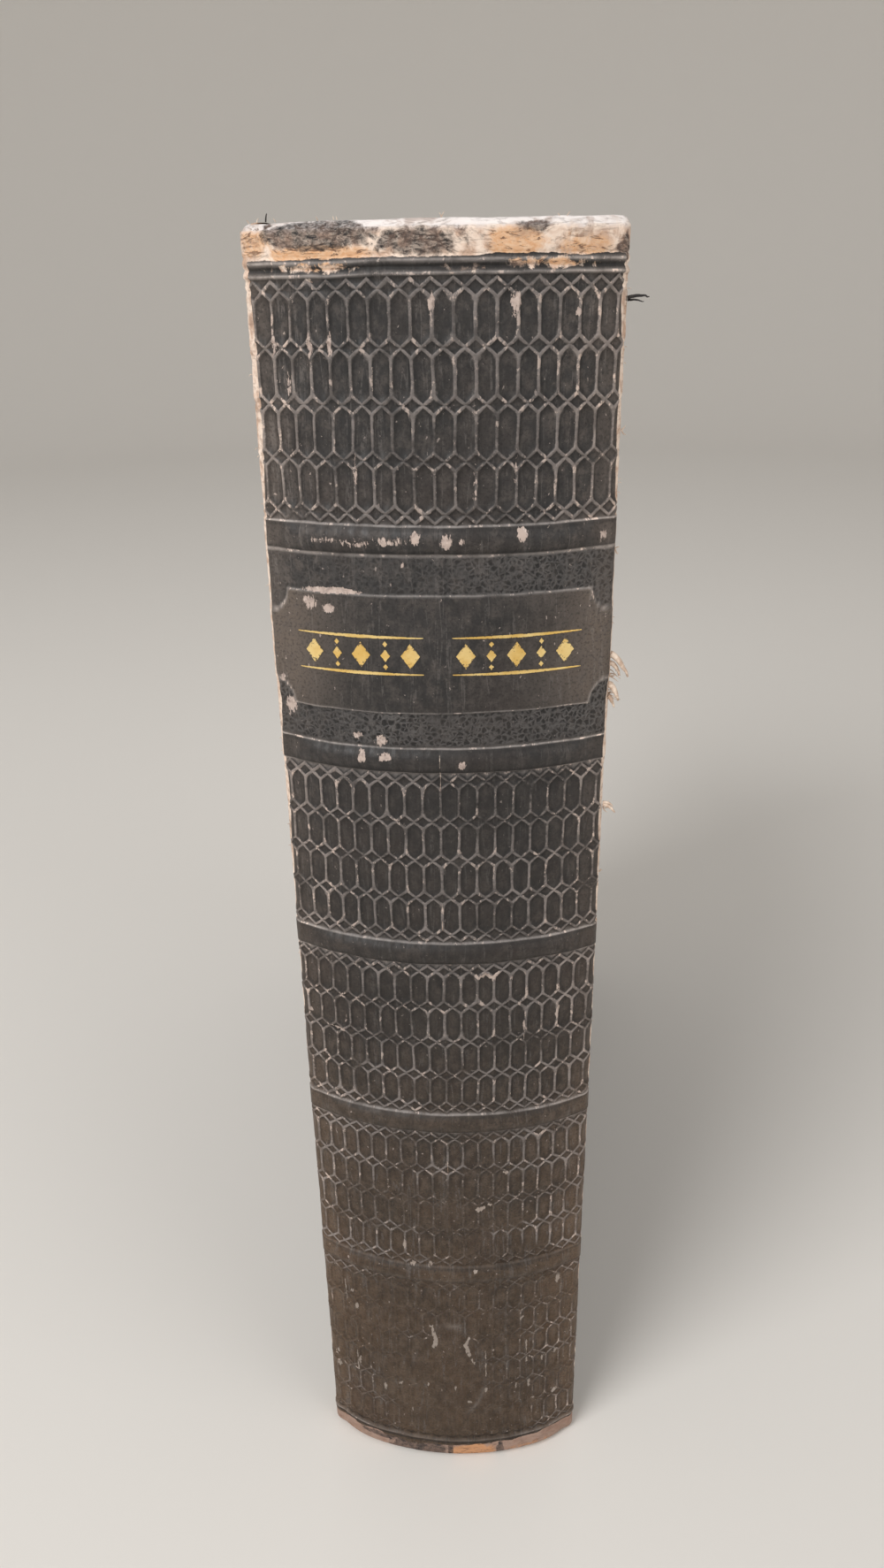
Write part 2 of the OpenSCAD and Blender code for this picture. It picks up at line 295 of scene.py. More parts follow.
def tube_faces(rings, sides):
    """Quads between rings of vertices, and a face at each end."""
    faces = []
    for i in range(rings - 1):
        for j in range(sides):
            k = (j + 1) % sides
            low, high = i * sides, (i + 1) * sides
            faces.append([low + j, low + k, high + k, high + j])
    return faces + [list(range(sides))[::-1], list(range((rings - 1) * sides, rings * sides))]


def facing(side, faces):
    """Faces turned over where the piece is mirrored to the other side."""
    return [f[::-1] for f in faces] if side < 0 else faces


def make_piece(name, verts, faces, material, smooth=True):
    mesh = bpy.data.meshes.new(name)
    mesh.from_pydata(np.asarray(verts, float).tolist(), [], [list(map(int, f)) for f in faces])
    mesh.update()
    if smooth:
        mesh.shade_smooth()
    piece = bpy.data.objects.new(name, mesh)
    bpy.context.scene.collection.objects.link(piece)
    mesh.materials.append(material)
    return piece


def add_mask(piece, name, values):
    mask = piece.data.attributes.new(name, "FLOAT", "POINT")
    mask.data.foreach_set("value", np.asarray(values, np.float32).ravel())


def add_spread(piece, points):
    """Keeps the skin's own flat coordinates, so that grain follows the skin round a bend."""
    spread = piece.data.attributes.new("spread", "FLOAT_VECTOR", "POINT")
    spread.data.foreach_set("vector", np.asarray(points, np.float32).ravel())


def sweep_tube(centres, radii, sides=10):
    """A tube round a path that runs nearly level or nearly upright, with closed ends."""
    centres = np.asarray(centres, float)
    along = np.gradient(centres, axis=0)
    along /= np.linalg.norm(along, axis=1)[:, None]
    helper = np.array([0, 0, 1.0]) if abs(along[:, 2]).max() < 0.9 else np.array([0, 1.0, 0])
    across = np.cross(along, helper)
    across /= np.linalg.norm(across, axis=1)[:, None]
    upward = np.cross(across, along)
    turn = np.arange(sides) * 2 * math.pi / sides
    ring = (
        across[:, None] * np.cos(turn)[None, :, None]
        + upward[:, None] * np.sin(turn)[None, :, None]
    )
    verts = (centres[:, None] + ring * np.asarray(radii)[:, None, None]).reshape(-1, 3)
    return verts, tube_faces(len(centres), sides)


def joined(parts):
    """Several (vertices, faces) as one."""
    verts, faces, start = [], [], 0
    for v, f in parts:
        verts.append(np.asarray(v, float))
        faces.extend([[i + start for i in face] for face in f])
        start += len(v)
    return np.concatenate(verts), faces


def on_back(s, z, depth):
    """The point at length s round the back's outline, at height z, and that far inside it."""
    s, z, depth = np.broadcast_arrays(np.asarray(s, float), z, depth)
    a = np.abs(s)
    side = np.where(s < 0, -1.0, 1.0)
    turn = np.where(a <= ARC_S, a / BACK_R, HALF_A + (a - ARC_S) / SHOULDER_R)
    turn = np.minimum(turn, math.pi / 2)
    on_arc = a <= ARC_S
    centre_x = np.where(on_arc, 0, CORNER_X)
    centre_y = np.where(on_arc, BACK_R, SPINE_B + np.maximum(a - SHOULDER_S, 0))
    r = np.where(on_arc, BACK_R, SHOULDER_R) - depth
    x = side * (centre_x + r * np.sin(turn))
    y = centre_y - r * np.cos(turn) + FRONT_Y
    return np.stack([x, y, z], axis=-1)


# ---------------------------------------------------------------------------
# Recipes for materials
# ---------------------------------------------------------------------------
VALUE, VECTOR = "NodeSocketFloat", "NodeSocketVector"


class Recipe:
    """A node tree, with one short method for each kind of node that the materials use."""

    def __init__(self, tree):
        self.tree = tree

    def link(self, a, b):
        self.tree.links.new(a, b)

    def fill(self, node, inputs):
        for key, value in inputs.items():
            if isinstance(value, bpy.types.NodeSocket):
                self.link(value, node.inputs[key])
            else:
                node.inputs[key].default_value = value
        return node

    def node(self, kind, inputs=None, **props):
        node = self.tree.nodes.new(kind)
        for key, value in props.items():
            setattr(node, key, value)
        return self.fill(node, inputs or {})

    def math(self, operation, a, b=0.0, c=0.0):
        return self.node("ShaderNodeMath", {0: a, 1: b, 2: c}, operation=operation).outputs[0]

    def add(self, a, b):
        return self.math("ADD", a, b)

    def mul(self, a, b):
        return self.math("MULTIPLY", a, b)

    def mul_add(self, a, b, c):
        return self.math("MULTIPLY_ADD", a, b, c)

    def higher(self, a, b):
        return self.math("MAXIMUM", a, b)

    def lower(self, a, b):
        return self.math("MINIMUM", a, b)

    def positive(self, a):
        return self.math("ABSOLUTE", a)

    def mix(self, factor, a, b, blend_type="MIX"):
        """Colour a turned into b by the factor."""
        a, b = ((*c, 1) if isinstance(c, tuple) and len(c) == 3 else c for c in (a, b))
        inputs = {0: factor, 6: a, 7: b}
        return self.node(
            "ShaderNodeMix", inputs, data_type="RGBA", blend_type=blend_type
        ).outputs[2]

    def tint(self, factor, a, by):
        """Colour a multiplied by another, by the factor."""
        return self.mix(factor, a, self.mix(1.0, a, by, "MULTIPLY"))

    def mix_value(self, factor, a, b):
        return self.node("ShaderNodeMix", {0: factor, 2: a, 3: b}).outputs[0]

    def ramp(self, value, low, high, out_low=0.0, out_high=1.0):
        """The value's step from low to high, with soft ends."""
        inputs = {0: value, 1: low, 2: high, 3: out_low, 4: out_high}
        return self.node("ShaderNodeMapRange", inputs, interpolation_type="SMOOTHSTEP").outputs[0]

    def vector(self, operation, a, b):
        return self.node("ShaderNodeVectorMath", {0: a, 1: b}, operation=operation).outputs[0]

    def axis(self, vector, name):
        return self.node("ShaderNodeSeparateXYZ", {0: vector}).outputs[name]

    def noise(self, vector, scale, detail=4.0, roughness=0.55, distortion=0.0):
        """Lumps of noise; a scale of three numbers stretches them."""
        if isinstance(scale, tuple):
            vector, scale = self.vector("MULTIPLY", vector, scale), 1.0
        inputs = {"Vector": vector, "Scale": scale, "Detail": detail, "Roughness": roughness}
        return self.node("ShaderNodeTexNoise", {**inputs, "Distortion": distortion}).outputs["Fac"]

    def warped(self, vector, scale, detail, reach):
        """The vector moved about by a noise, as far as reach says."""
        inputs = {"Vector": vector, "Scale": scale, "Detail": detail}
        shift = self.node("ShaderNodeTexNoise", inputs).outputs["Color"]
        return self.vector("ADD", vector, self.vector("MULTIPLY", shift, reach))

    def cells(self, vector, scale, feature):
        inputs = {"Vector": vector, "Scale": scale}
        if feature == "SMOOTH_F1":
            inputs["Smoothness"] = 0.5
        return self.node("ShaderNodeTexVoronoi", inputs, feature=feature).outputs["Distance"]

    def mask(self, name, output="Fac"):
        """Values that a mesh carries at its points."""
        return self.node("ShaderNodeAttribute", attribute_name=name).outputs[output]

    def point(self):
        return self.node("ShaderNodeTexCoord").outputs["Object"]

    def group(self, name, inputs):
        return self.fill(self.node("ShaderNodeGroup", node_tree=bpy.data.node_groups[name]), inputs)

    def rubbed(self, vector, amount, patch, softness):
        inputs = {"Vector": vector, "Amount": amount, "Patch size": patch, "Softness": softness}
        return self.group("Rubbing", inputs).outputs["Mask"]


class GroupRecipe(Recipe):
    """An empty shader group with named sockets; put() sets what it gives."""

    def __init__(self, name, inputs, outputs):
        super().__init__(bpy.data.node_groups.new(name, "ShaderNodeTree"))
        for label, kind, default in inputs:
            socket = self.tree.interface.new_socket(label, in_out="INPUT", socket_type=kind)
            if default is not None:
                socket.default_value = default
        for label in outputs:
            self.tree.interface.new_socket(label, in_out="OUTPUT", socket_type=VALUE)
        self.given = self.tree.nodes.new("NodeGroupInput").outputs
        self.out = self.tree.nodes.new("NodeGroupOutput").inputs

    def put(self, label, value):
        self.link(value, self.out[label])


class MaterialRecipe(Recipe):
    """A material with one Principled shader."""

    def __init__(self, name):
        self.material = bpy.data.materials.new(name)
        self.material.use_nodes = True
        super().__init__(self.material.node_tree)
        self.shader = self.tree.nodes["Principled BSDF"].inputs

    def finish(self, colour, roughness, height, strength=0.6, distance=0.1 * MM, specular=0.5):
        self.link(colour, self.shader["Base Color"])
        self.link(roughness, self.shader["Roughness"])
        inputs = {"Height": height, "Strength": strength, "Distance": distance}
        self.link(self.node("ShaderNodeBump", inputs).outputs[0], self.shader["Normal"])
        self.shader["Specular IOR Level"].default_value = specular
        return self.material


def build_leather_grain():
    """Pebbled grain with fine pores, for all the leather."""
    sockets = [("Vector", VECTOR, None), ("Grain size", VALUE, 0.9 * MM), ("Pebble", VALUE, 0.5)]
    g = GroupRecipe("Leather grain", sockets, ("Height", "Valleys"))
    scale = g.math("DIVIDE", 1.0, g.given["Grain size"])
    point = g.warped(g.given["Vector"], scale, 2.0, (0.4 * MM,) * 3)
    domes = g.ramp(g.cells(point, scale, "SMOOTH_F1"), 0.0, 0.7, 1.0, 0.0)
    pores = g.noise(g.given["Vector"], 2600.0, 4.0, 0.6)
    g.put("Height", g.mul_add(pores, 0.45, g.mul(domes, g.given["Pebble"])))
    g.put("Valleys", g.ramp(g.cells(point, scale, "DISTANCE_TO_EDGE"), 0.0, 0.16, 1.0, 0.0))


def build_rubbing():
    """Turns a soft mask into rubbing with ragged edges and small flakes round it."""
    sockets = [("Vector", VECTOR, None), ("Amount", VALUE, 0.5)]
    sockets += [("Patch size", VALUE, 3 * MM), ("Softness", VALUE, 0.12)]
    g = GroupRecipe("Rubbing", sockets, ("Mask",))
    scale = g.math("DIVIDE", 1.0, g.given["Patch size"])
    patches = g.noise(g.given["Vector"], scale, 5.0, 0.68, 0.6)
    level = g.add(patches, g.mul_add(g.given["Amount"], 1.1, -1.0))
    g.put("Mask", g.ramp(level, 0.0, g.given["Softness"]))


def build_mottling():
    """Blotches and foxing spots of old paper, and the uneven tone of old leather."""
    sockets = [("Vector", VECTOR, None), ("Size", VALUE, 20 * MM), ("Spots", VALUE, 0.5)]
    g = GroupRecipe("Mottling", sockets, ("Tone", "Foxing"))
    vector = g.given["Vector"]
    tone = g.noise(vector, g.math("DIVIDE", 1.0, g.given["Size"]), 6.0, 0.6, 0.3)
    g.put("Tone", g.ramp(tone, 0.3, 0.7))
    near = g.mul_add(g.noise(vector, 420.0, 4.0), 0.25, g.cells(vector, 160.0, "F1"))
    spots = g.ramp(near, 0.17, 0.30, 1.0, 0.0)
    rare = g.ramp(g.noise(vector, 60.0, 2.0), 0.52, 0.62)
    g.put("Foxing", g.mul(g.mul(spots, rare), g.given["Spots"]))


LEATHER_SHEEN = 0.42
BARE_ROUGHNESS = 0.92


def spine_skin_material(look):
    """Embossed leather: dark cells, rubbed ridges, scuffs and bare worn edges."""
    t = MaterialRecipe("spine_skin")
    skin = t.mask("spread", "Vector")
    ridge, line = t.mask("ridge"), t.mask("line")
    groove, pebble = t.mask("groove"), t.mask("pebble")
    polish, worn = t.mask("polish"), t.mask("worn")
    tan, ink = t.mask("tan"), t.mask("ink")
    scuff, lower = t.mask("scuff"), t.mask("lower")

    blotches = t.noise(skin, 55.0, 5.0, 0.6)
    streaks = t.noise(skin, (1500.0, 170.0, 1.0), 3.0, 0.6)
    specks = t.noise(skin, 1500.0, 3.0, 0.6)
    # Painted warm bounce light: the cells blend into a browner colour towards the tail
    base = t.mix(lower, tuple(look.cell_colour), tuple(look.tail_bounce_colour))
    lift = t.add(t.ramp(blotches, 0.35, 0.7, 0.0, 0.5), t.ramp(streaks, 0.45, 0.75, 0.0, 0.12))
    base = t.tint(lift, base, (2.3, 2.2, 2.15))
    brown = t.ramp(t.noise(skin, 38.0, 3.0), 0.45, 0.7, 0.0, 0.6)
    base = t.mix(brown, base, (0.040, 0.029, 0.024))

    # Fine pale streaks run up and down, darker ones between them; the smooth ends and both sides
    # get a dusty brown that is partly dust and partly painted sheen
    hairlines = t.ramp(t.noise(skin, (1500.0, 95.0, 1.0), 3.0, 0.65), 0.56, 0.70, 0.0, 0.16)
    base = t.mix(hairlines, base, (0.085, 0.075, 0.07))
    dust_and_sheen_ends = t.mul(t.mask("dusty"), t.ramp(blotches, 0.3, 0.6, 0.5, 1.0))
    base = t.mix(dust_and_sheen_ends, base, (0.082, 0.066, 0.055))
    dark_streaks = t.ramp(t.noise(skin, (520.0, 160.0, 1.0), 4.0, 0.65), 0.46, 0.34, 0.0, 0.25)
    base = t.mix(dark_streaks, base, (0.0085, 0.008, 0.008))
    dust = t.noise(skin, (800.0, 420.0, 1.0), 5.0, 0.75)
    base = t.mix(t.ramp(dust, 0.60, 0.72, 0.0, 0.3), base, (0.20, 0.175, 0.16))
    grime = t.ramp(t.noise(skin, (430.0, 330.0, 1.0), 6.0, 0.7), 0.42, 0.66, 0.0, 0.75)
    base = t.mix(grime, base, (0.070, 0.059, 0.053))
    # Painted warm bounce light: a browner tint towards the tail
    base = t.tint(lower, base, (1.40, 1.12, 0.82))
    chips = t.ramp(t.noise(skin, (1150.0, 800.0, 1.0), 4.0, 0.55, 0.3), 0.68, 0.71, 0.0, 0.75)
    base = t.mix(chips, base, (0.36, 0.30, 0.27))

    # Wrinkles: thin wandering lines up and down, where a slow noise passes its middle
    folds = t.noise(skin, (210.0, 15.0, 1.0), 3.0, 0.55)
    near_fold = t.positive(t.add(folds, -0.5))
    wrinkle = t.mul(t.ramp(near_fold, 0.004, 0.012, 1.0, 0.0), t.ramp(dust, 0.42, 0.56))
    base = t.mix(t.mul(wrinkle, 0.42), base, (0.125, 0.112, 0.105))
    pores = t.noise(skin, 1900.0, 3.0, 0.6)
    base = t.mix(t.ramp(pores, 0.50, 0.36, 0.0, 0.5), base, (0.009, 0.008, 0.0075))

    # The cells between the title and the middle are the darkest
    up = t.axis(skin, "Y")
    upper, under = t.ramp(up, 216 * MM, 200 * MM), t.ramp(up, 105 * MM, 140 * MM)
    darkest = t.mul(t.mul(upper, under), 0.42)
    base = t.mix(darkest, base, (0.0125, 0.0108, 0.0105))

    # Ridges and tooled lines are rubbed to a dusty grey, more in some places than in others
    dusting = t.noise(skin, 1050.0, 5.0, 0.72)
    uneven = t.ramp(t.noise(skin, 210.0, 4.0, 0.7), 0.34, 0.62, 0.30, 1.0)
    crest = t.mul_add(dusting, 0.9, t.add(ridge, -0.72))
    ridge_seen = t.mul(t.ramp(crest, 0.0, 0.42), uneven)
    ridge_tint = t.mix(t.ramp(specks, 0.4, 0.7), tuple(look.ridge_colour), (0.22, 0.19, 0.175))
    # Painted shade: dark lines at the ridges' feet and in the tooled grooves
    base = t.mix(t.mul(groove, 0.8), base, (0.0055, 0.005, 0.005))
    base = t.mix(ridge_seen, base, ridge_tint)
    flecks = t.ramp(t.noise(skin, (560.0, 300.0, 1.0), 5.0, 0.7), 0.555, 0.62)
    fleck_share = t.mul(flecks, t.ramp(crest, 0.0, 0.3))
    base = t.mix(fleck_share, base, (0.40, 0.325, 0.285))
    line_seen = t.mul(line, t.ramp(t.noise(skin, 190.0, 5.0, 0.75), 0.30, 0.60, 0.25, 1.0))
    base = t.mix(line_seen, base, (0.30, 0.272, 0.258))
    base = t.mix(t.mul(flecks, t.ramp(line, 0.25, 0.6)), base, (0.52, 0.43, 0.385))

    # Painted sheen: lighter towards both sides, less so towards the tail
    side_sheen = t.ramp(t.positive(t.axis(skin, "X")), 15 * MM, 31 * MM)
    side_sheen = t.mul(side_sheen, t.mul_add(lower, -0.5, 1.0))
    base = t.tint(side_sheen, base, (1.55, 1.5, 1.45))

    # Pebbled strips: dark pits between pale ridges
    crumpled = t.warped(skin, 900.0, 3.0, (1.1 * MM, 1.1 * MM, 0.0))
    pits = t.cells(crumpled, 1000.0, "DISTANCE_TO_EDGE")
    grains = t.ramp(pits, 0.04, 0.30, 1.0, 0.0)
    pale_grains = t.mul(t.mul(grains, pebble), t.ramp(dusting, 0.35, 0.6, 0.25, 1.0))
    dark_pits = t.mul(t.math("SUBTRACT", 1.0, grains), pebble)
    base = t.mix(t.mul(pale_grains, 0.8), base, (0.115, 0.107, 0.104))
    base = t.mix(t.mul(dark_pits, 0.75), base, (0.006, 0.0055, 0.0055))

    # Scuffs down to pink leather
    flaked = t.vector("MULTIPLY", skin, (1.9, 0.75, 1.0))
    cloudy_scuffs = t.noise(skin, 700.0, 4.0, 0.6, 0.4)
    scuffed = t.rubbed(flaked, scuff, 1.1 * MM, 0.05)
    pink = t.mix(t.ramp(cloudy_scuffs, 0.45, 0.65), tuple(look.rub_colour), (0.33, 0.26, 0.23))
    pink = t.mix(t.ramp(dusting, 0.52, 0.68), pink, (0.62, 0.52, 0.47))
    pink = t.mix(t.mul(lower, 0.8), pink, (0.245, 0.21, 0.178))
    base = t.mix(scuffed, base, pink)

    # Bare leather at head, tail and sides, with tan places and dark remnants of the surface
    bare = t.rubbed(skin, worn, 2.0 * MM, 0.14)
    tan_place = t.rubbed(skin, tan, 3.0 * MM, 0.32)
    dark_place = t.rubbed(skin, ink, 2.8 * MM, 0.22)
    fuzz = t.noise(skin, (900.0, 1600.0, 1.0), 4.0, 0.7, 0.8)
    cloudy = t.noise(skin, 330.0, 5.0, 0.65, 0.5)
    flesh = t.mix(t.ramp(cloudy, 0.42, 0.66), tuple(look.worn_colour), (0.56, 0.38, 0.28))
    orange = t.mix(t.ramp(fuzz, 0.35, 0.65), tuple(look.tan_colour), (0.74, 0.49, 0.31))
    flesh = t.mix(t.mul(tan_place, 0.9), flesh, orange)
    # Pale worn fuzz along the head's edge, lightened further as a painted highlight
    head_fuzz_and_highlight = t.ramp(t.mul_add(cloudy, 0.0035, up), BOOK_H - 0.6 * MM, BOOK_H + 0.9 * MM, 0.0, 0.9)
    flesh = t.mix(head_fuzz_and_highlight, flesh, (0.84, 0.79, 0.77))
    at_tail = t.ramp(up, 8 * MM, 5 * MM, 0.0, 0.85)
    flesh = t.mix(at_tail, flesh, t.mix(tan_place, (0.27, 0.165, 0.125), (0.52, 0.25, 0.12)))
    cracks = t.ramp(t.noise(skin, (230.0, 760.0, 1.0), 5.0, 0.72, 1.8), 0.39, 0.455, 1.0, 0.0)
    stained = t.higher(tan_place, dark_place)
    crack_share = t.mul(cracks, t.mul_add(stained, 0.7, 0.16))
    flesh = t.mix(crack_share, flesh, (0.14, 0.07, 0.045))
    stains = t.ramp(t.noise(skin, (170.0, 260.0, 1.0), 4.0, 0.6, 0.8), 0.52, 0.68, 0.0, 0.55)
    flesh = t.mix(stains, flesh, (0.33, 0.22, 0.165))
    dark = t.mix(t.ramp(cloudy, 0.40, 0.62), (0.018, 0.0175, 0.019), (0.125, 0.088, 0.073))
    flesh = t.mix(t.mul(dark_place, t.ramp(fuzz, 0.35, 0.7, 1.0, 0.5)), flesh, dark)
    base = t.mix(bare, base, flesh)

    rough = t.ramp(t.noise(skin, (600.0, 210.0, 1.0), 3.0, 0.7), 0.36, 0.64, 0.52, 0.74)
    rough = t.mul_add(polish, -0.05, rough)
    rough = t.mul_add(ridge_seen, 0.14, rough)
    rough = t.mix_value(t.higher(bare, scuffed), rough, BARE_ROUGHNESS)

    grain = t.group("Leather grain", {"Vector": skin, "Grain size": 0.42 * MM, "Pebble": 0.35})
    creases = t.noise(skin, (1500.0, 160.0, 1.0), 2.0, 0.6)
    height = t.mul_add(t.mul(grains, pebble), 2.6, t.mul(grain.outputs["Height"], 0.45))
    height = t.mul_add(creases, 0.3, height)
    height = t.mul_add(t.mul(dusting, ridge), 0.9, height)
    height = t.mul_add(t.mul(fuzz, worn), 1.8, height)
    height = t.mul_add(scuffed, -0.8, height)
    height = t.mul_add(t.mul(cracks, worn), -1.2, height)
    return t.finish(base, rough, height, 0.7, 0.09 * MM, LEATHER_SHEEN)


def cover_skin_material(look, spine_look):
    """Grained leather of the covers, rubbed along edges and corners."""
    t = MaterialRecipe("cover_skin")
    point = t.point()
    edge = t.mask("edge")
    grain = t.group(
        "Leather grain", {"Vector": point, "Grain size": look.grain_size, "Pebble": 0.8}
    )
    mottle = t.group("Mottling", {"Vector": point, "Size": 34 * MM, "Spots": 0.0})
    base = t.mix(mottle.outputs["Tone"], tuple(look.leather_colour), (0.038, 0.031, 0.028))
    base = t.mix(t.mul(grain.outputs["Valleys"], 0.6), base, (0.009, 0.008, 0.008))
    scratches = t.noise(point, (900.0, 60.0, 700.0), 5.0, 0.65, 0.4)
    base = t.mix(t.ramp(scratches, 0.62, 0.74, 0.0, 0.5), base, (0.10, 0.085, 0.078))
    rubbed = t.rubbed(point, edge, 4 * MM, 0.1)
    soft = t.rubbed(point, t.add(edge, 0.16), 6 * MM, 0.3)
    fuzz = t.noise(point, 1300.0, 5.0, 0.7, 0.6)
    base = t.mix(t.mul(soft, 0.6), base, (0.11, 0.075, 0.055))
    flesh = t.mix(t.ramp(fuzz, 0.3, 0.7), (0.60, 0.44, 0.34), tuple(spine_look.tan_colour))
    soiled = t.ramp(t.noise(point, 260.0, 5.0, 0.65), 0.42, 0.62, 0.0, 0.8)
    flesh = t.mix(soiled, flesh, (0.20, 0.135, 0.10))
    base = t.mix(rubbed, base, flesh)
    scuffs = t.rubbed(
        point, t.ramp(t.noise(point, 34.0, 3.0), 0.55, 0.75, 0.0, 0.46), 1.6 * MM, 0.1
    )
    base = t.mix(scuffs, base, (0.20, 0.155, 0.13))
    rough = t.ramp(mottle.outputs["Tone"], 0.0, 1.0, 0.42, 0.54)
    rough = t.mix_value(rubbed, rough, BARE_ROUGHNESS)
    height = t.mul_add(t.mul(fuzz, rubbed), 0.8, grain.outputs["Height"])
    return t.finish(base, rough, height, 0.55, 0.14 * MM, LEATHER_SHEEN)


def leaf_edge_material(look):
    """The cut edges of the leaves: fine lines across the thickness, with darker mottled patches and
    foxing.
    """
    t = MaterialRecipe("leaf_edges")
    point = t.point()
    leaves = t.noise(point, (6500.0, 9.0, 9.0), 3.0, 0.7)
    sections = t.noise(point, (700.0, 14.0, 14.0), 3.0, 0.6)
    mottle = t.group("Mottling", {"Vector": point, "Size": 26 * MM, "Spots": 0.5})
    colour = t.mix(t.ramp(leaves, 0.3, 0.7), tuple(look.paper_colour), (0.36, 0.255, 0.145))
    colour = t.mix(t.ramp(sections, 0.4, 0.65, 0.0, 0.6), colour, (0.66, 0.54, 0.36))
    colour = t.mix(t.mul(mottle.outputs["Tone"], 0.45), colour, (0.34, 0.235, 0.13))
    colour = t.mix(t.mul(mottle.outputs["Foxing"], 0.7), colour, (0.22, 0.11, 0.05))
    rough = t.ramp(leaves, 0.2, 0.8, 0.72, 0.88)
    return t.finish(colour, rough, t.mul_add(leaves, 1.0, sections), 0.8, 0.12 * MM, specular=0.3)


def paper_material(look):
    """Old endpaper: toned towards its edges, with foxing spots."""
    t = MaterialRecipe("endpaper")
    point = t.point()
    mottle = t.group("Mottling", {"Vector": point, "Size": 45 * MM, "Spots": 0.9})
    fibres = t.noise(point, 1400.0, 5.0, 0.7, 0.5)
    up = t.axis(point, "Z")
    from_end = t.lower(up, t.math("SUBTRACT", BOOK_H, up))
    from_edge = t.lower(from_end, t.math("SUBTRACT", COVER_HIGH.y, t.axis(point, "Y")))
    wavering = t.mul_add(mottle.outputs["Tone"], 14 * MM, from_edge)
    toned = t.ramp(wavering, 6 * MM, 34 * MM, 0.75, 0.0)
    colour = t.mix(
        t.mul(mottle.outputs["Tone"], 0.35), tuple(look.endpaper_colour), (0.55, 0.42, 0.26)
    )
    colour = t.mix(toned, colour, (0.46, 0.32, 0.18))
    colour = t.mix(t.ramp(fibres, 0.4, 0.7, 0.0, 0.3), colour, (0.70, 0.60, 0.43))
    colour = t.mix(mottle.outputs["Foxing"], colour, (0.30, 0.155, 0.07))
    rough = t.ramp(fibres, 0.2, 0.8, 0.78, 0.9)
    return t.finish(colour, rough, fibres, 0.4, 0.05 * MM, specular=0.25)


def fibrous_material(name, dark, pale, stretch, strength=0.6, distance=0.1 * MM):
    """Board, card, kraft paper or hemp: long fibres in two tones."""
    t = MaterialRecipe(name)
    point = t.point()
    fibres = t.noise(point, stretch, 6.0, 0.7, 0.8)
    lumps = t.noise(point, 180.0, 4.0)
    colour = t.mix(t.ramp(fibres, 0.3, 0.7), dark, pale)
    colour = t.mix(t.ramp(lumps, 0.4, 0.7, 0.0, 0.4), colour, dark)
    rough = t.ramp(fibres, 0.2, 0.8, 0.8, 0.95)
    return t.finish(colour, rough, fibres, strength, distance, specular=0.2)


def mull_material():
    """Open cotton cloth stiffened with glue."""
    t = MaterialRecipe("mull_cloth")
    point = t.point()
    waves = [t.math("SINE", t.mul(t.axis(point, name), 4200.0)) for name in "XZ"]
    threads = t.higher(*(t.ramp(t.positive(wave), 0.55, 0.95) for wave in waves))
    glue = t.noise(point, 140.0, 4.0)
    colour = t.mix(threads, (0.30, 0.20, 0.10), (0.68, 0.60, 0.45))
    colour = t.mix(t.ramp(glue, 0.45, 0.65, 0.0, 0.5), colour, (0.36, 0.23, 0.10))
    return t.finish(colour, t.ramp(glue, 0.3, 0.7, 0.6, 0.9), threads, 0.8, 0.1 * MM)


def silk_material(look):
    """Faded silk thread wound in two colours; the strand mask picks the colour."""
    t = MaterialRecipe("wound_silk")
    point = t.point()
    strand = t.mask("strand")
    threads = t.noise(point, (5200.0, 5200.0, 1500.0), 4.0, 0.7)
    dusty = t.noise(point, 300.0, 4.0)
    colour = t.mix(strand, tuple(look.silk_colour), tuple(look.silk_pale))
    colour = t.mix(t.ramp(threads, 0.35, 0.7, 0.0, 0.55), colour, (0.16, 0.07, 0.05))
    colour = t.mix(t.ramp(dusty, 0.4, 0.7, 0.0, 0.5), colour, (0.30, 0.22, 0.15))
    return t.finish(colour, t.ramp(threads, 0.3, 0.7, 0.45, 0.7), threads, 0.6, 0.06 * MM)


def gilt_material():
    """Gold leaf pressed into the leather, thin at its edges and rubbed through in specks."""
    t = MaterialRecipe("gilt")
    skin = t.mask("spread", "Vector")
    thin = t.mask("thin")
    specks = t.noise(skin, 1700.0, 5.0, 0.7)
    tone = t.noise(skin, 190.0, 4.0, 0.6)
    lost = t.ramp(t.mul_add(thin, 0.16, specks), 0.62, 0.70)
    gold = t.mix(t.ramp(tone, 0.35, 0.65), (0.80, 0.52, 0.15), (0.92, 0.70, 0.31))
    colour = t.mix(lost, gold, (0.07, 0.05, 0.035))
    t.link(t.mul_add(lost, -0.85, 0.85), t.shader["Metallic"])
    return t.finish(colour, t.ramp(specks, 0.3, 0.7, 0.30, 0.46), specks, 0.4, 0.04 * MM)


def fibre_material(name, dark, pale):
    """Loose thread, darker and paler along its length."""
    t = MaterialRecipe(name)
    point = t.point()
    tone = t.noise(point, 900.0, 4.0)
    colour = t.mix(t.ramp(tone, 0.35, 0.65), dark, pale)
    return t.finish(colour, t.ramp(tone, 0.3, 0.7, 0.8, 0.95), tone, 0.4, 0.05 * MM)


def floor_material(look):
    """Plain and matt, and a trifle darker than the chosen colour."""
    t = MaterialRecipe("studio_floor")
    t.shader["Base Color"].default_value = (*(0.98 * c for c in look.floor_colour), 1)
    t.shader["Roughness"].default_value = 0.85
    t.shader["Specular IOR Level"].default_value = 0.0
    return t.material


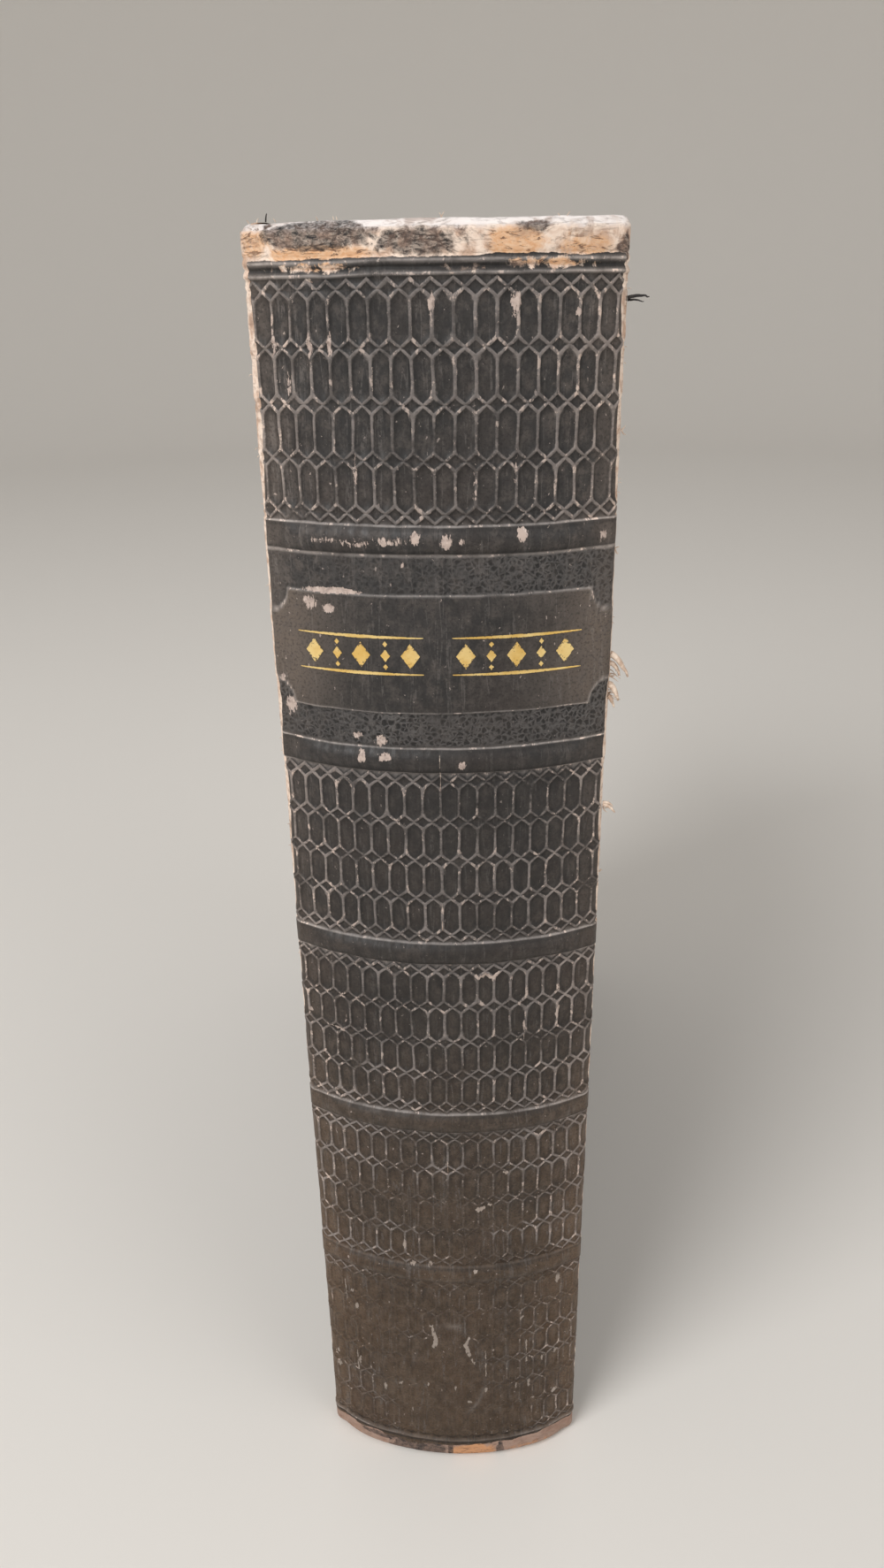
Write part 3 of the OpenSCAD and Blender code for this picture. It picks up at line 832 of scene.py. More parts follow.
# ---------------------------------------------------------------------------
# The embossed spine
# ---------------------------------------------------------------------------
# Marks seen in the photograph: across the back and height in millimetres, half width,
# half height, strength
SCUFFS = [
    (-20, 239.7, 4.0, 0.7, 0.62), (-14, 239.4, 3.5, 0.9, 0.62), (-8.2, 239.7, 3.0, 1.0, 0.66),
    (-3.5, 240.4, 0.8, 1.1, 0.9), (1.8, 239.7, 0.8, 1.2, 0.92), (4.5, 239.8, 1.0, 0.8, 0.62),
    (15.0, 240.8, 0.8, 1.2, 0.9), (30.4, 239.2, 0.8, 1.0, 0.8), (-19.4, 230.4, 4.6, 0.5, 1.0),
    (-23.7, 227.9, 1.3, 1.3, 0.8), (-20.1, 227.1, 1.2, 0.9, 0.85), (-6, 235.4, 0.5, 0.5, 0.8),
    (-15.9, 203, 0.9, 0.8, 0.8), (-11.2, 202.2, 1.0, 1.1, 0.9), (-14.8, 199, 0.8, 1.2, 0.85),
    (-10.2, 199.2, 1.0, 0.8, 0.85), (4.2, 197.8, 0.6, 0.7, 0.95), (-29.8, 207.2, 1.3, 1.8, 0.8),
    (-31, 212.6, 0.9, 0.9, 0.75), (7.5, 85.4, 1.1, 0.7, 0.95), (13.2, 95.8, 0.5, 0.6, 0.9),
    (9.7, 86.6, 0.5, 0.5, 0.85),
    (24.3, 275.8, 0.35, 0.35, 1.3), (26.0, 276.4, 0.3, 0.35, 1.3), (-25.2, 53, 0.6, 0.6, 0.8),
    (0, 277.2, 0.7, 1.8, 0.7), (13.6, 277.2, 0.8, 2.2, 0.78), (-28, 271.5, 0.5, 2.4, 0.75),
    (-21.1, 271.4, 0.5, 2.4, 0.75), (-17.4, 271.2, 0.5, 2.2, 0.72), (-25.5, 265, 0.6, 2.6, 0.7),
    (-13.8, 251, 0.5, 4.0, 0.62), (6.8, 249, 0.5, 4.5, 0.6), (13.8, 251, 0.5, 4.0, 0.6),
    (-24.3, 48.1, 0.45, 1.0, 0.91), (-30.8, 28.4, 0.45, 1.1, 0.80), (-30.8, 23.7, 0.6, 0.9, 0.88),
    (-17.3, 22.0, 0.5, 1.2, 0.80), (-13.0, 24.5, 0.55, 0.8, 0.88), (-20.8, 22.5, 0.35, 0.6, 0.78),
    (-6.0, 25.5, 0.4, 0.8, 0.76), (-2.5, 24.3, 0.3, 0.9, 0.76), (1.1, 24.6, 0.35, 1.1, 0.83),
    (8.8, 24.1, 0.4, 1.1, 0.86), (16.5, 24.1, 0.3, 1.4, 0.78), (20.0, 24.3, 0.45, 1.6, 0.84),
    (19.2, 32.7, 0.35, 1.8, 0.78), (27.0, 18.5, 1.1, 0.8, 0.82), (23.5, 31.9, 0.5, 1.0, 0.82),
    (27.0, 33.1, 0.5, 0.9, 0.81), (21.2, 17.9, 0.8, 0.6, 0.76), (4.6, 19.6, 0.7, 0.7, 0.76),
    (4.6, 15.7, 0.4, 0.5, 0.76), (-10.1, 15.4, 0.4, 0.9, 0.76), (17.9, 48.0, 0.6, 0.55, 0.88),
    (15.8, 45.8, 0.4, 0.5, 0.76), (10.7, 38.1, 0.5, 0.5, 0.76), (-10.7, 73.4, 0.4, 1.2, 0.94),
    (-4.6, 68.2, 0.6, 0.7, 0.90), (-8.8, 68.0, 0.9, 0.6, 0.86), (6.0, 66.7, 0.6, 0.4, 0.84),
    (4.6, 68.8, 0.7, 0.3, 0.76), (27.0, 58.2, 0.6, 1.3, 0.86), (-24.2, 28.5, 0.7, 1.4, 0.72),
]
# Long scuffs: points along each, half width, strength
STROKES = [
    (
        [(6.4, 150.0), (7.6, 149.0), (8.8, 150.3), (10.2, 149.2), (11.6, 150.4), (12.6, 149.0)],
        0.5, 0.78,
    ),
    ([(-4.9, 46.6), (-4.1, 43.4), (-3.6, 41.0)], 0.85, 0.7),
    ([(-3.7, 41.0), (-4.5, 39.6)], 0.9, 0.66), ([(4.6, 43.0), (3.6, 40.0)], 0.6, 0.66),
    ([(3.6, 40.4), (4.6, 37.0)], 0.9, 0.68), ([(4.6, 37.0), (6.2, 32.8)], 0.6, 0.62),
    ([(8.6, 38.5), (8.7, 29.0)], 0.3, 0.6), ([(19.2, 40.0), (19.4, 34.5)], 0.3, 0.62),
    ([(-27.2, 56.0), (-27.0, 49.0)], 0.32, 0.64), ([(-24.9, 32.0), (-24.8, 25.0)], 0.32, 0.6),
    ([(-32.0, 136.0), (-29.5, 135.8)], 0.4, 0.7),
    ([(-25.6, 133.4), (-22.6, 132.9), (-22.2, 137.0)], 0.36, 0.7),
    ([(16.9, 132.5), (17.1, 137.5)], 0.34, 0.68), ([(24.4, 137.0), (24.8, 140.0)], 0.45, 0.72),
]
# Where the bare edge is orange, and where dark surface is left on it
TAN_PLACES = [
    (-31, 287, 3.6, 3.2, 0.8), (-18.5, 284.6, 8.0, 1.3, 1.15), (13.5, 285.8, 4.0, 2.6, 1.1),
    (20, 283.2, 9.0, 0.7, 0.8), (-18, 282.8, 7.0, 0.6, 0.7), (25, 285.4, 7.0, 2.4, 0.72),
    (5.2, 1.4, 5.0, 3.2, 1.2), (20, 1.0, 10.0, 2.6, 0.6), (-24, 1.5, 8.0, 2.4, 0.5),
]
DARK_PLACES = [
    (-19, 287.7, 8.0, 1.8, 1.3), (-1.5, 286.4, 9, 2.4, 0.78), (16.5, 288.4, 3.0, 1.0, 0.8),
    (32.5, 285.5, 2.0, 2.4, 0.75), (-8.6, 2.6, 5.8, 3.6, 1.25), (-0.3, 1.8, 0.5, 3.4, 1.3),
    (12.4, 2.2, 1.0, 3.0, 0.9), (-19, 4.2, 7.0, 0.9, 0.8), (3, 282.7, 12, 0.8, 0.9),
    (-28, 289.6, 1.2, 0.5, 0.8),
]
# Rubbed lengths of the two rules near the head
RUBBED_RULES = [
    (19, 283.0, 9, 1.2, 1), (-19, 282.8, 9, 1.1, 1), (5, 282.2, 7, 1.2, 0.85),
    (-22, 281.0, 5, 0.7, 0.8),
]


def place_marks(s, z, marks):
    """The strongest of several soft marks at each point."""
    total = np.zeros_like(s)
    for across, up, half_w, half_h, strength in marks:
        reach = ((s / MM - across) / half_w) ** 2 + ((z / MM - up) / half_h) ** 2
        total = np.maximum(total, strength * np.exp(-0.5 * reach))
    return total


def scuff_marks(s, z):
    """Scuffed spots and long scuffs."""
    scuff = place_marks(
        s, z, [(x, y, 1.2 * w, 1.15 * h, 0.8 * strength) for x, y, w, h, strength in SCUFFS]
    )
    for points, half, strength in STROKES:
        for (s0, z0), (s1, z1) in zip(points, points[1:]):
            ds, dz = s1 - s0, z1 - z0
            along = np.clip(((s / MM - s0) * ds + (z / MM - z0) * dz) / (ds**2 + dz**2), 0, 1)
            off = np.hypot(s / MM - s0 - along * ds, z / MM - z0 - along * dz)
            scuff = np.maximum(scuff, strength * np.exp(-((off / half) ** 2)))
    return scuff


def bare_edges(s, z):
    """Where the leather is worn away: the folded head, the tail's edge and both sides."""
    a = np.abs(s)
    head = ease(283.6 * MM, 284.8 * MM, z + 0.5 * MM * wander(s, z, 6 * MM, 51))
    tail = ease(
        5.5 * MM, 4.8 * MM,
        z + 0.6 * MM * wander(s, z, 5 * MM, 52) + 0.8 * MM * bump_at(s, -8 * MM, 9 * MM),
    )
    start_left = (
        31.7 * MM + 0.5 * MM * ease(262 * MM, 245 * MM, z) + 2.4 * MM * ease(205 * MM, 130 * MM, z)
    )
    start_right = 32.2 * MM + 1.0 * MM * ease(268 * MM, 240 * MM, z)
    start_right = start_right - 0.9 * MM * bump_at(z, 197 * MM, 11 * MM)
    start_right = start_right + 1.2 * MM * ease(180 * MM, 120 * MM, z)
    start = (s < 0) * start_left + (s > 0) * start_right
    start = start + 0.7 * MM * wander(s * 0.3, z, 9 * MM, 53)
    sides = ease(0, 0.7 * MM, a - start) * (1 - 0.6 * ease(36.2 * MM, 37.8 * MM, a))
    sides = sides * (0.62 + 0.38 * ease(60 * MM, 170 * MM, z))
    worn = np.maximum(np.maximum(head, tail), sides)
    return np.maximum(worn, 0.6 * place_marks(s, z, RUBBED_RULES))


def kept_relief(s, z, low, oval):
    """How much of the ridges is left: they are rubbed in the middle, more towards the tail."""
    a = np.abs(s)
    rubbed = 0.5 * ease(64 * MM, 50 * MM, z) * (1 - ease(12 * MM, 27 * MM, a))
    rubbed = np.maximum(rubbed, 0.42 * ease(112 * MM, 85 * MM, z) * (1 - ease(8 * MM, 24 * MM, a)))
    rubbed = np.maximum(rubbed, 0.95 * (1 - ease(0.6, 1.2, oval)))
    patchy = 0.5 + 0.5 * wander(s, z, 16 * MM, 11)
    broken = ease(0.25 - 0.15 * low, 0.7 - 0.1 * low, wander(s, z, 4.2 * MM, 17))
    broken = broken * (0.55 + 0.1 * low)
    return (1 - 0.9 * rubbed) * (0.7 + 0.3 * patchy) * (1 - broken) * (1 - 0.3 * low)


# The lattice's mesh ends at this length round the back, and its relief fades out over these
LATTICE_END = 35.2 * MM
FADE = (34 * MM, 37 * MM)
SPLITS_AT = (-3.9 * MM, 1.85 * MM)
SPLITS_LOW, SPLITS_HIGH = 229.6 * MM, 237.5 * MM
FOOT_SPREAD, FOOT_HEIGHT = 1.1 * MM, 16 * MM
TITLE_STRIP = 3.2 * MM
# Heights of the mesh's lines near the tail, across a band, and from the upper head line
TAIL_ROWS = (1.6, 2.0, 2.5, 3.0, 3.6, 4.3, 5.0, 5.5, 5.8, 6.1, 6.4, 6.65)
BAND_ROWS = (-2.72, -2.5, -2.25, -1.9, -1.5, -1.0, -0.5, 0, 0.5, 1.0, 1.5, 1.9, 2.25, 2.5, 2.72)
HEAD_ROWS = (
    -0.2, 0, 0.3, 0.6, 0.8, 0.95, 1.1, 1.3, 1.6, 1.9, 2.2, 2.5, 2.7, 2.85, 3.0, 3.3, 3.9, 4.6, 5.3,
    6.0, 6.7,
)


class SpinePattern:
    """Where the embossed pattern's lines run on the back, and how high and how rubbed it is."""

    def __init__(self, look):
        self.look = look
        self.tip = look.diamond_height / 2
        self.lean = math.sqrt(1 + (look.diamond_height / look.cell_width) ** 2)
        self.foot = look.ridge_width / 2
        self.top = look.ridge_width / 5
        self.edge = look.band_width / 2
        self.margin = 0.4 * MM
        self.head_lines = (BOOK_H - 6.4 * MM, BOOK_H - 8.3 * MM)
        self.tail_line = 6.4 * MM
        self.label_z = (BAND_Z[3] + BAND_Z[4]) / 2
        edges = [(self.tail_line + 0.3 * MM, BAND_Z[0] - self.edge)]
        edges += [(BAND_Z[i] + self.edge, BAND_Z[i + 1] - self.edge) for i in range(3)]
        edges += [(BAND_Z[4] + self.edge, self.head_lines[1] - 0.3 * MM)]
        self.panels = [self.diamond_rows(low, high) for low, high in edges]

    def diamond_rows(self, low, high):
        first, last = low + self.margin + self.tip, high - self.margin - self.tip
        count = max(1, round((last - first) / self.look.cell_height))
        return low, high, [first + (last - first) * i / count for i in range(count + 1)]

    def columns(self):
        """Lengths round the back at which the mesh has a line."""
        w = self.look.cell_width
        foot, top = self.foot / w, self.top / w
        offsets = [-0.5, -0.3, -foot, -top, 0, top, foot, 0.3]
        lines = [(k + o) * w for k in range(-10, 11) for o in offsets]
        lines += [
            side * (k + o) * w for k in (8, 9) for o in (-0.4, -0.2, 0.2, 0.4) for side in (-1, 1)
        ]
        lines = [s for s in lines if abs(s) <= LATTICE_END]
        lines += [side * s * MM for s in (36, 37, 38) for side in (-1, 1)]
        return np.array(sorted(lines + [-END_S, END_S]))

    def heights(self, s):
        """Heights of the mesh's lines: they follow the diamonds, so every ridge stays crisp."""
        w = self.look.cell_width
        near = np.abs(s / w - np.round(s / w))
        rise = self.tip * (1 - 2 * near) * (1 - ease(33 * MM, 36.5 * MM, np.abs(s)))
        foot, top = self.foot * self.lean, self.top * self.lean
        rows = [np.full_like(s, z * MM) for z in TAIL_ROWS]
        for number, (low, high, tips) in enumerate(self.panels):
            before = None
            for z in tips:
                inner_foot = np.maximum(rise - foot, 0.05 * MM)
                inner_top = np.maximum(rise - top, 0.10 * MM)
                shape = [-(rise + foot), -(rise + top), -inner_top, -inner_foot, 0 * rise]
                shape += [inner_foot, inner_top, rise + top, rise + foot]
                if before is not None:
                    start, end = before, z - rise - foot
                    rows += [start + (end - start) * t for t in (0.2, 0.4, 0.6, 0.8)]
                else:
                    rows.append(np.full_like(s, low + 0.12 * MM))
                rows += [np.clip(z + part, low + 0.2 * MM, high - 0.2 * MM) for part in shape]
                before = z + rise + foot
            rows.append(np.full_like(s, high - 0.12 * MM))
            if number < 4:
                rows += [np.full_like(s, BAND_Z[number] + d * MM) for d in BAND_ROWS]
            if number == 3:
                rows += self.title_lines(s)
                rows += [np.full_like(s, BAND_Z[4] + d * MM) for d in BAND_ROWS]
        rows += [np.full_like(s, self.head_lines[1] + d * MM) for d in HEAD_ROWS]
        grid = np.array(rows)
        return np.maximum.accumulate(grid + np.arange(len(rows))[:, None] * 1e-7, axis=0)

    def title_lines(self, s):
        """Heights of the mesh's lines between the two bands round the title panel."""
        half = self.look.label_height / 2
        low, high = self.label_z - half, self.label_z + half
        steps = list(np.linspace(BAND_Z[3] + TITLE_STRIP, low - 0.5 * MM, 11))
        steps += [low + d * MM for d in (-0.25, 0, 0.25, 0.5)]
        steps += list(np.linspace(low + 1.1 * MM, high - 1.1 * MM, 27))
        steps += [high + d * MM for d in (-0.5, -0.25, 0, 0.25)]
        steps += list(np.linspace(high + 0.5 * MM, BAND_Z[4] - TITLE_STRIP, 11))
        return [np.full_like(s, z) for z in steps]

    def lattice(self, s, z):
        """How much of a ridge each point is, and whether it lies in a panel at all."""
        w = self.look.cell_width
        near = np.abs(s / w - np.round(s / w))
        across = near * w
        ridge, inside, hollow = np.zeros_like(s), np.zeros_like(s), np.zeros_like(s)
        for low, high, tips in self.panels:
            here = (z > low) & (z < high)
            inside = np.where(here, 1.0, inside)
            gap = np.min([np.abs(z - tip) for tip in tips], axis=0)
            chevron = np.abs(gap - self.tip * (1 - 2 * near)) / self.lean
            between = (z > tips[0]) & (z < tips[-1])
            upright = np.where(between & (gap > self.tip), across, 1.0)
            share = np.clip(0.5 + (upright - chevron) / (0.7 * MM), 0, 1)
            distance = chevron * share + upright * (1 - share) - 0.32 * MM * share * (1 - share)
            width = 1 + 0.35 * wander(s, z, 2.6 * MM, 13, 2)
            ridge = np.where(
                here, 1 - ease(self.top * width, self.foot * 1.15 * width, distance), ridge
            )
            # A thin line just outside each ridge's foot, which the material darkens as painted
            # shade
            hollow = np.where(here, bump_at(distance, self.foot + 0.1 * MM, 0.16 * MM), hollow)
        return ridge, inside, hollow

    def shape(self, s, z):
        """Height over the plain outline, and the masks that the material reads."""
        look, a = self.look, np.abs(s)
        ridge, inside, hollow = self.lattice(s, z)
        fade = 1 - ease(*FADE, a)
        low = ease(125 * MM, 55 * MM, z)
        oval = (
            ((s + 0.5 * MM) / (9 * MM)) ** 2 + ((z - 30 * MM) / (17 * MM)) ** 2
            + 0.12 * wander(s, z, 5 * MM, 19)
        )
        keep = kept_relief(s, z, low, oval) * fade
        dome = 0.25 * wander(s, z, 2.4 * MM, 5, 2)
        height = inside * (-look.cell_depth * (1 - ridge * keep) + 0.12 * MM * dome * (1 - ridge))
        height *= np.where(inside > 0, fade, 1)

        taper = np.clip(
            (CORNER_X - BACK_R * np.sin(np.minimum(a, ARC_S) / BACK_R)) / (7 * MM), 0, 1
        )
        taper = taper * (2 - taper)
        # The groove mask marks painted shade: at the ridges' feet, inside the bands' edges, round
        # the title panel, beside the rules and in the splits
        line, groove, polish = np.zeros_like(s), hollow * inside * keep, np.zeros_like(s)
        for z_band in BAND_Z:
            d = np.abs(z - z_band)
            t = np.clip(d / self.edge, 0, 1)
            height = height + BAND_H * taper * 0.96 * (1 - t**2.2) ** 1.15 * (d < self.edge)
            rest = np.ones_like(s)
            if z_band < BAND_Z[1]:
                patches = np.maximum(
                    bump_at(s, -14.5 * MM, 5 * MM), 0.9 * bump_at(s, 15 * MM, 9 * MM)
                )
                crumbled = 0.5 + 0.5 * wander(s, z, 1.8 * MM, 43, 2)
                rest = 0.16 + 1.3 * patches * (z < z_band) * crumbled
            edge_line = bump_at(d, self.edge - 0.02 * MM, 0.15 * MM)
            line = np.maximum(line, np.clip(rest, 0, 1) * edge_line)
            groove = np.maximum(groove, 0.75 * bump_at(d, self.edge - 0.5 * MM, 0.22 * MM))
            polish = np.maximum(polish, 1 - ease(0.8, 1.0, d / self.edge))

        half_h, reach = look.label_height / 2, look.label_reach
        dz = np.abs(z - self.label_z)
        corner = np.hypot(a - reach, dz - half_h)
        outside = np.maximum(np.maximum(a - reach - 3 * MM, dz - half_h), look.label_bite - corner)
        label = 1 - ease(-0.12 * MM, 0.14 * MM, outside)
        height = height + look.label_rise * label * (1 - 0.5 * ease(30 * MM, 34 * MM, a))
        outline = bump_at(outside, 0.0, 0.17 * MM + 0.12 * MM * (a > 28 * MM))
        height = height + 0.07 * MM * outline
        line = np.maximum(line, 0.75 * outline)
        groove = np.maximum(groove, 0.8 * bump_at(outside, 0.42 * MM, 0.22 * MM))
        polish = np.maximum(polish, label)
        strip = (z > BAND_Z[3] + 3.0 * MM) & (z < BAND_Z[4] - 3.0 * MM)
        strip = strip.astype(float) * (1 - label)
        pebble = strip * (0.75 + 0.35 * wander(s, z, 9 * MM, 21))
        pebble *= np.where(z > self.label_z, 0.35 + 0.65 * ease(-10 * MM, 14 * MM, s), 1)
        height = height + pebble * 0.13 * MM * wander(s, z, 1.3 * MM, 31, 2)

        for z_line in (*self.head_lines, self.tail_line):
            d = z - z_line + 0.1 * MM * wander(s, s * 0, 7 * MM, 33)
            height = (
                height + 0.13 * MM * bump_at(d, 0, 0.34 * MM)
                - 0.16 * MM * bump_at(np.abs(d), 0.85 * MM, 0.26 * MM)
            )
            line = np.maximum(line, 0.9 * bump_at(d, 0, 0.24 * MM))
            groove = np.maximum(groove, bump_at(np.abs(d), 0.85 * MM, 0.34 * MM))
        faint = 0.45 * low * (1.15 + wander(s, z, 7 * MM, 35, 2))
        line = line * (1 - faint * (1 - 0.5 * ease(18 * MM, 30 * MM, a)))
        line = np.maximum(
            line, 0.3 * low * bump_at(oval, 1.0, 0.09) * ease(-0.2, 0.5, wander(s, z, 6 * MM, 37))
        )
        # Lighter dusty brown: dust patches low down, and painted sheen growing towards both sides,
        # on the title panel too
        dusty = (
            0.5 * low * ease(0.1, 0.8, wander(s, z, 13 * MM, 39)) + label * ease(8 * MM, 31 * MM, a)
            + 0.5 * ease(26 * MM, 33 * MM, a) * (1 - inside)
            + 0.55 * ease(25 * MM, 33 * MM, a) * inside
        )

        # The foot spreads a little
        height = height + FOOT_SPREAD * taper * ease(FOOT_HEIGHT, 0, z)

        # Two split lines run down from the top band into the title panel
        for at in SPLITS_AT:
            run = (z < SPLITS_HIGH) & (z > SPLITS_LOW)
            split = bump_at(s, at + 0.12 * MM * wander(s * 0, z, 2 * MM, 41), 0.28 * MM) * run
            height = height - 0.12 * MM * split
            groove = np.maximum(groove, split)

        worn = bare_edges(s, z)
        rough = wander(s, z, 2.2 * MM, 61)
        height = height - worn * (0.10 * MM + 0.10 * MM * rough)
        speckle = (
            (0.43 + 0.05 * low) * ease(0.0, 0.6, wander(s, z, 3.5 * MM, 71))
            * np.maximum(ridge * keep * inside, line)
        )
        scuff = np.maximum(scuff_marks(s, z), speckle)

        joint = ease(END_S - 3.4 * MM, END_S, a)
        height = height - GROOVE_DEPTH * joint - 0.05 * MM * (1 + wander(s, z, 22 * MM, 81))
        masks = {
            "ridge": ridge * np.sqrt(keep) * inside * (1 - 0.3 * ease(72 * MM, 58 * MM, z))
            * (0.55 + 0.45 * ease(-0.4, 0.5, wander(s, z, 11 * MM, 91))),
            "line": line,
            "groove": groove,
            "pebble": pebble,
            "polish": polish,
            "worn": worn,
            "tan": place_marks(s, z, TAN_PLACES),
            "ink": place_marks(s, z, DARK_PLACES),
            "scuff": scuff,
            "dusty": np.clip(dusty, 0, 1),
            "lower": ease(215 * MM, 30 * MM, z),
        }
        return height, masks


def build_spine(look, material):
    """One skin: the outer face, the folds at head and tail, and the inner face."""
    pattern = SpinePattern(look)
    s = pattern.columns()
    z = pattern.heights(s)
    s_grid = np.broadcast_to(s, z.shape)
    height, masks = pattern.shape(s_grid, z)
    drift_s = (
        look.waviness * (wander(s_grid, z, 14 * MM, 3) + 0.55 * wander(s_grid, z, 3.2 * MM, 8, 1))
    )
    drift_z = (
        look.waviness * (wander(s_grid, z, 19 * MM, 4) + 0.55 * wander(s_grid, z, 3.4 * MM, 9, 1))
    )
    drift_z *= ease(0, 6 * MM, z) * ease(BOOK_H, BOOK_H - 9 * MM, z)
    flat = 1 - ease(30 * MM, 34 * MM, np.abs(s_grid))
    outer = on_back(s_grid + drift_s * flat, z + drift_z, -height)
    bulge = np.maximum(np.abs(outer[..., 0]) - SIDE_X, 0)
    outer[..., 0] -= np.sign(outer[..., 0]) * bulge

    # The folds: a quarter round, then the flat of the cap and its inner lip
    cap = np.where(np.abs(s) < ARC_S - 1 * MM, CAP_DEPTH, SIDE_CAP_DEPTH)
    edge_height = height[-1], height[0]
    fold = []
    for head in (True, False):
        loops = []
        for angle in (18, 36, 54, 72, 90):
            t = math.radians(angle)
            share = 1 - (angle / 90) ** (1 if head else 3)
            loops.append((CAP_R * (1 - math.cos(t)), CAP_R * (1 - math.sin(t)), share))
        loops += [((CAP_R + CAP_DEPTH) / 2, 0.0, 0), (None, 0.0, 0), (None, LEATHER_T, 0)]
        for depth, inset, share in loops:
            deep = cap if depth is None else np.minimum(np.full_like(s, depth), cap)
            dent = 0.08 * MM * (1 + wander(s, s * 0 + inset, 2.2 * MM, 101 if head else 102))
            dent = dent + 0.28 * MM * (1 + wander(s, s * 0, 17 * MM, 103, 2))
            level = BOOK_H - inset - dent if head else inset + dent * 0.3
            carried = edge_height[0 if head else 1] * share
            fold.append(on_back(s, level, deep - carried + 0.5 * dent * (share > 0)))
    head_fold, tail_fold = fold[:8], fold[8:]
    inner = [
        on_back(s, z_in, np.full_like(s, LEATHER_T))
        for z_in in np.linspace(BOOK_H - LEATHER_T, LEATHER_T, 12)
    ]
    loop = list(outer) + head_fold + inner + tail_fold[::-1]
    verts = np.concatenate(loop)
    rows, cols = len(loop), len(s)
    faces = [list(f) for f in grid_faces(rows, cols, closed=True)]
    faces.append([r * cols for r in range(rows)])
    faces.append([r * cols + cols - 1 for r in range(rows)][::-1])
    piece = make_piece("spine_skin", verts, faces, material)

    extra_head, extra_inner, extra_tail = len(head_fold), len(inner), len(tail_fold)
    head_z = [BOOK_H - 1.3 * MM + 0.5 * MM * i for i in range(extra_head)]
    tail_z = [1.3 * MM - 0.5 * MM * i for i in range(extra_tail)]
    rest_z = head_z + [BOOK_H + 3 * MM] * extra_inner + tail_z[::-1]
    inner_rows = range(extra_head, extra_head + extra_inner)
    fold_masks = [
        None if number in inner_rows
        else pattern.shape(s, np.full_like(s, min(max(z_row, 0), BOOK_H)))[1]
        for number, z_row in enumerate(rest_z)
    ]
    for name, mask in masks.items():
        plain = np.full_like(s, 1.0 if name == "lower" else 0.0)
        extra = [plain if known is None else known[name] for known in fold_masks]
        add_mask(piece, name, np.concatenate([mask, np.array(extra)]))
    spread = np.zeros((rows, cols, 3))
    spread[..., 0] = s
    spread[: len(outer), :, 1] = z
    spread[len(outer) :, :, 1] = np.array(rest_z)[:, None]
    add_spread(piece, spread)
    return piece


# ---------------------------------------------------------------------------
# Gilt ornament in the title panel
# ---------------------------------------------------------------------------
def gilt_patch(s0, s1, middle_z, half_height, lift):
    """A patch of gold between two lengths round the back; half_height gives its outline."""
    across = np.linspace(s0, s1, max(7, int(abs(s1 - s0) / (0.35 * MM))))
    share = np.linspace(-1, 1, 5)
    s = np.repeat(across[None, :], 5, axis=0)
    t = np.repeat(share[:, None], len(across), axis=1)
    half = half_height((across - s0) / (s1 - s0))
    z = middle_z + t * half[None, :]
    rise = lift + 0.03 * MM * (1 - t**2)
    thin = np.abs(t) ** 3
    return (
        on_back(s, z, -rise).reshape(-1, 3),
        grid_faces(5, len(across)),
        np.stack([s, z, 0 * s], -1).reshape(-1, 3),
        thin.ravel(),
    )


def lozenge_outline(size):
    return lambda t: size * (1 - np.abs(2 * t - 1)) + 0.02 * MM


def tapered_outline(thick, thin):
    return lambda t: thin + (thick - thin) * (1 - np.abs(2 * t - 1)) ** 0.7


def build_ornament(look, material):
    """Two groups of lozenges between tapered rules, alike on both sides of the middle."""
    middle = (BAND_Z[3] + BAND_Z[4]) / 2
    lift = look.label_rise + 0.03 * MM
    patches = []

    def add(s0, s1, up, outline):
        patches.append(gilt_patch(s0, s1, middle + up, outline, lift))

    for side in (-1, 1):
        for index in range(5):
            centre = side * (5.0 + index * 4.6) * MM
            large = index % 2 == 0
            half_w, half_h = (1.75, 2.4) if large else (0.9, 1.2)
            add(centre - half_w * MM, centre + half_w * MM, 0, lozenge_outline(half_h * MM))
            for up in () if large else (-2.15, 2.15):
                outline = lozenge_outline(0.55 * MM)
                add(centre - 0.45 * MM, centre + 0.45 * MM, up * MM, outline)
        for up in (-3.45, 3.45):
            add(side * 2.6 * MM, side * 26.6 * MM, up * MM, tapered_outline(0.34 * MM, 0.08 * MM))
    verts, faces = joined([(p[0], p[1]) for p in patches])
    piece = make_piece("gilt_ornament", verts, faces, material)
    add_spread(piece, np.concatenate([p[2] for p in patches]))
    add_mask(piece, "thin", np.concatenate([p[3] for p in patches]))
    return piece


# ---------------------------------------------------------------------------
# Covers
# ---------------------------------------------------------------------------
def edge_spaced(low, high, step, near, wrap_low=True, marks=()):
    """Lines from low to high, close together at the wrapped ends."""
    lines = {low, high, *marks}
    ends = [high - d for d in near] + ([low + d for d in near] if wrap_low else [])
    lines.update(ends)
    a = low + (max(near) if wrap_low else 0)
    b = high - max(near)
    count = int((b - a) / step)
    lines.update(a + (b - a) * i / count for i in range(1, count))
    lines = sorted(lines)
    kept = [lines[0]]
    for value in lines[1:]:
        if value - kept[-1] > 0.05 * MM:
            kept.append(value)
    kept[-1] = high
    return np.array(kept)


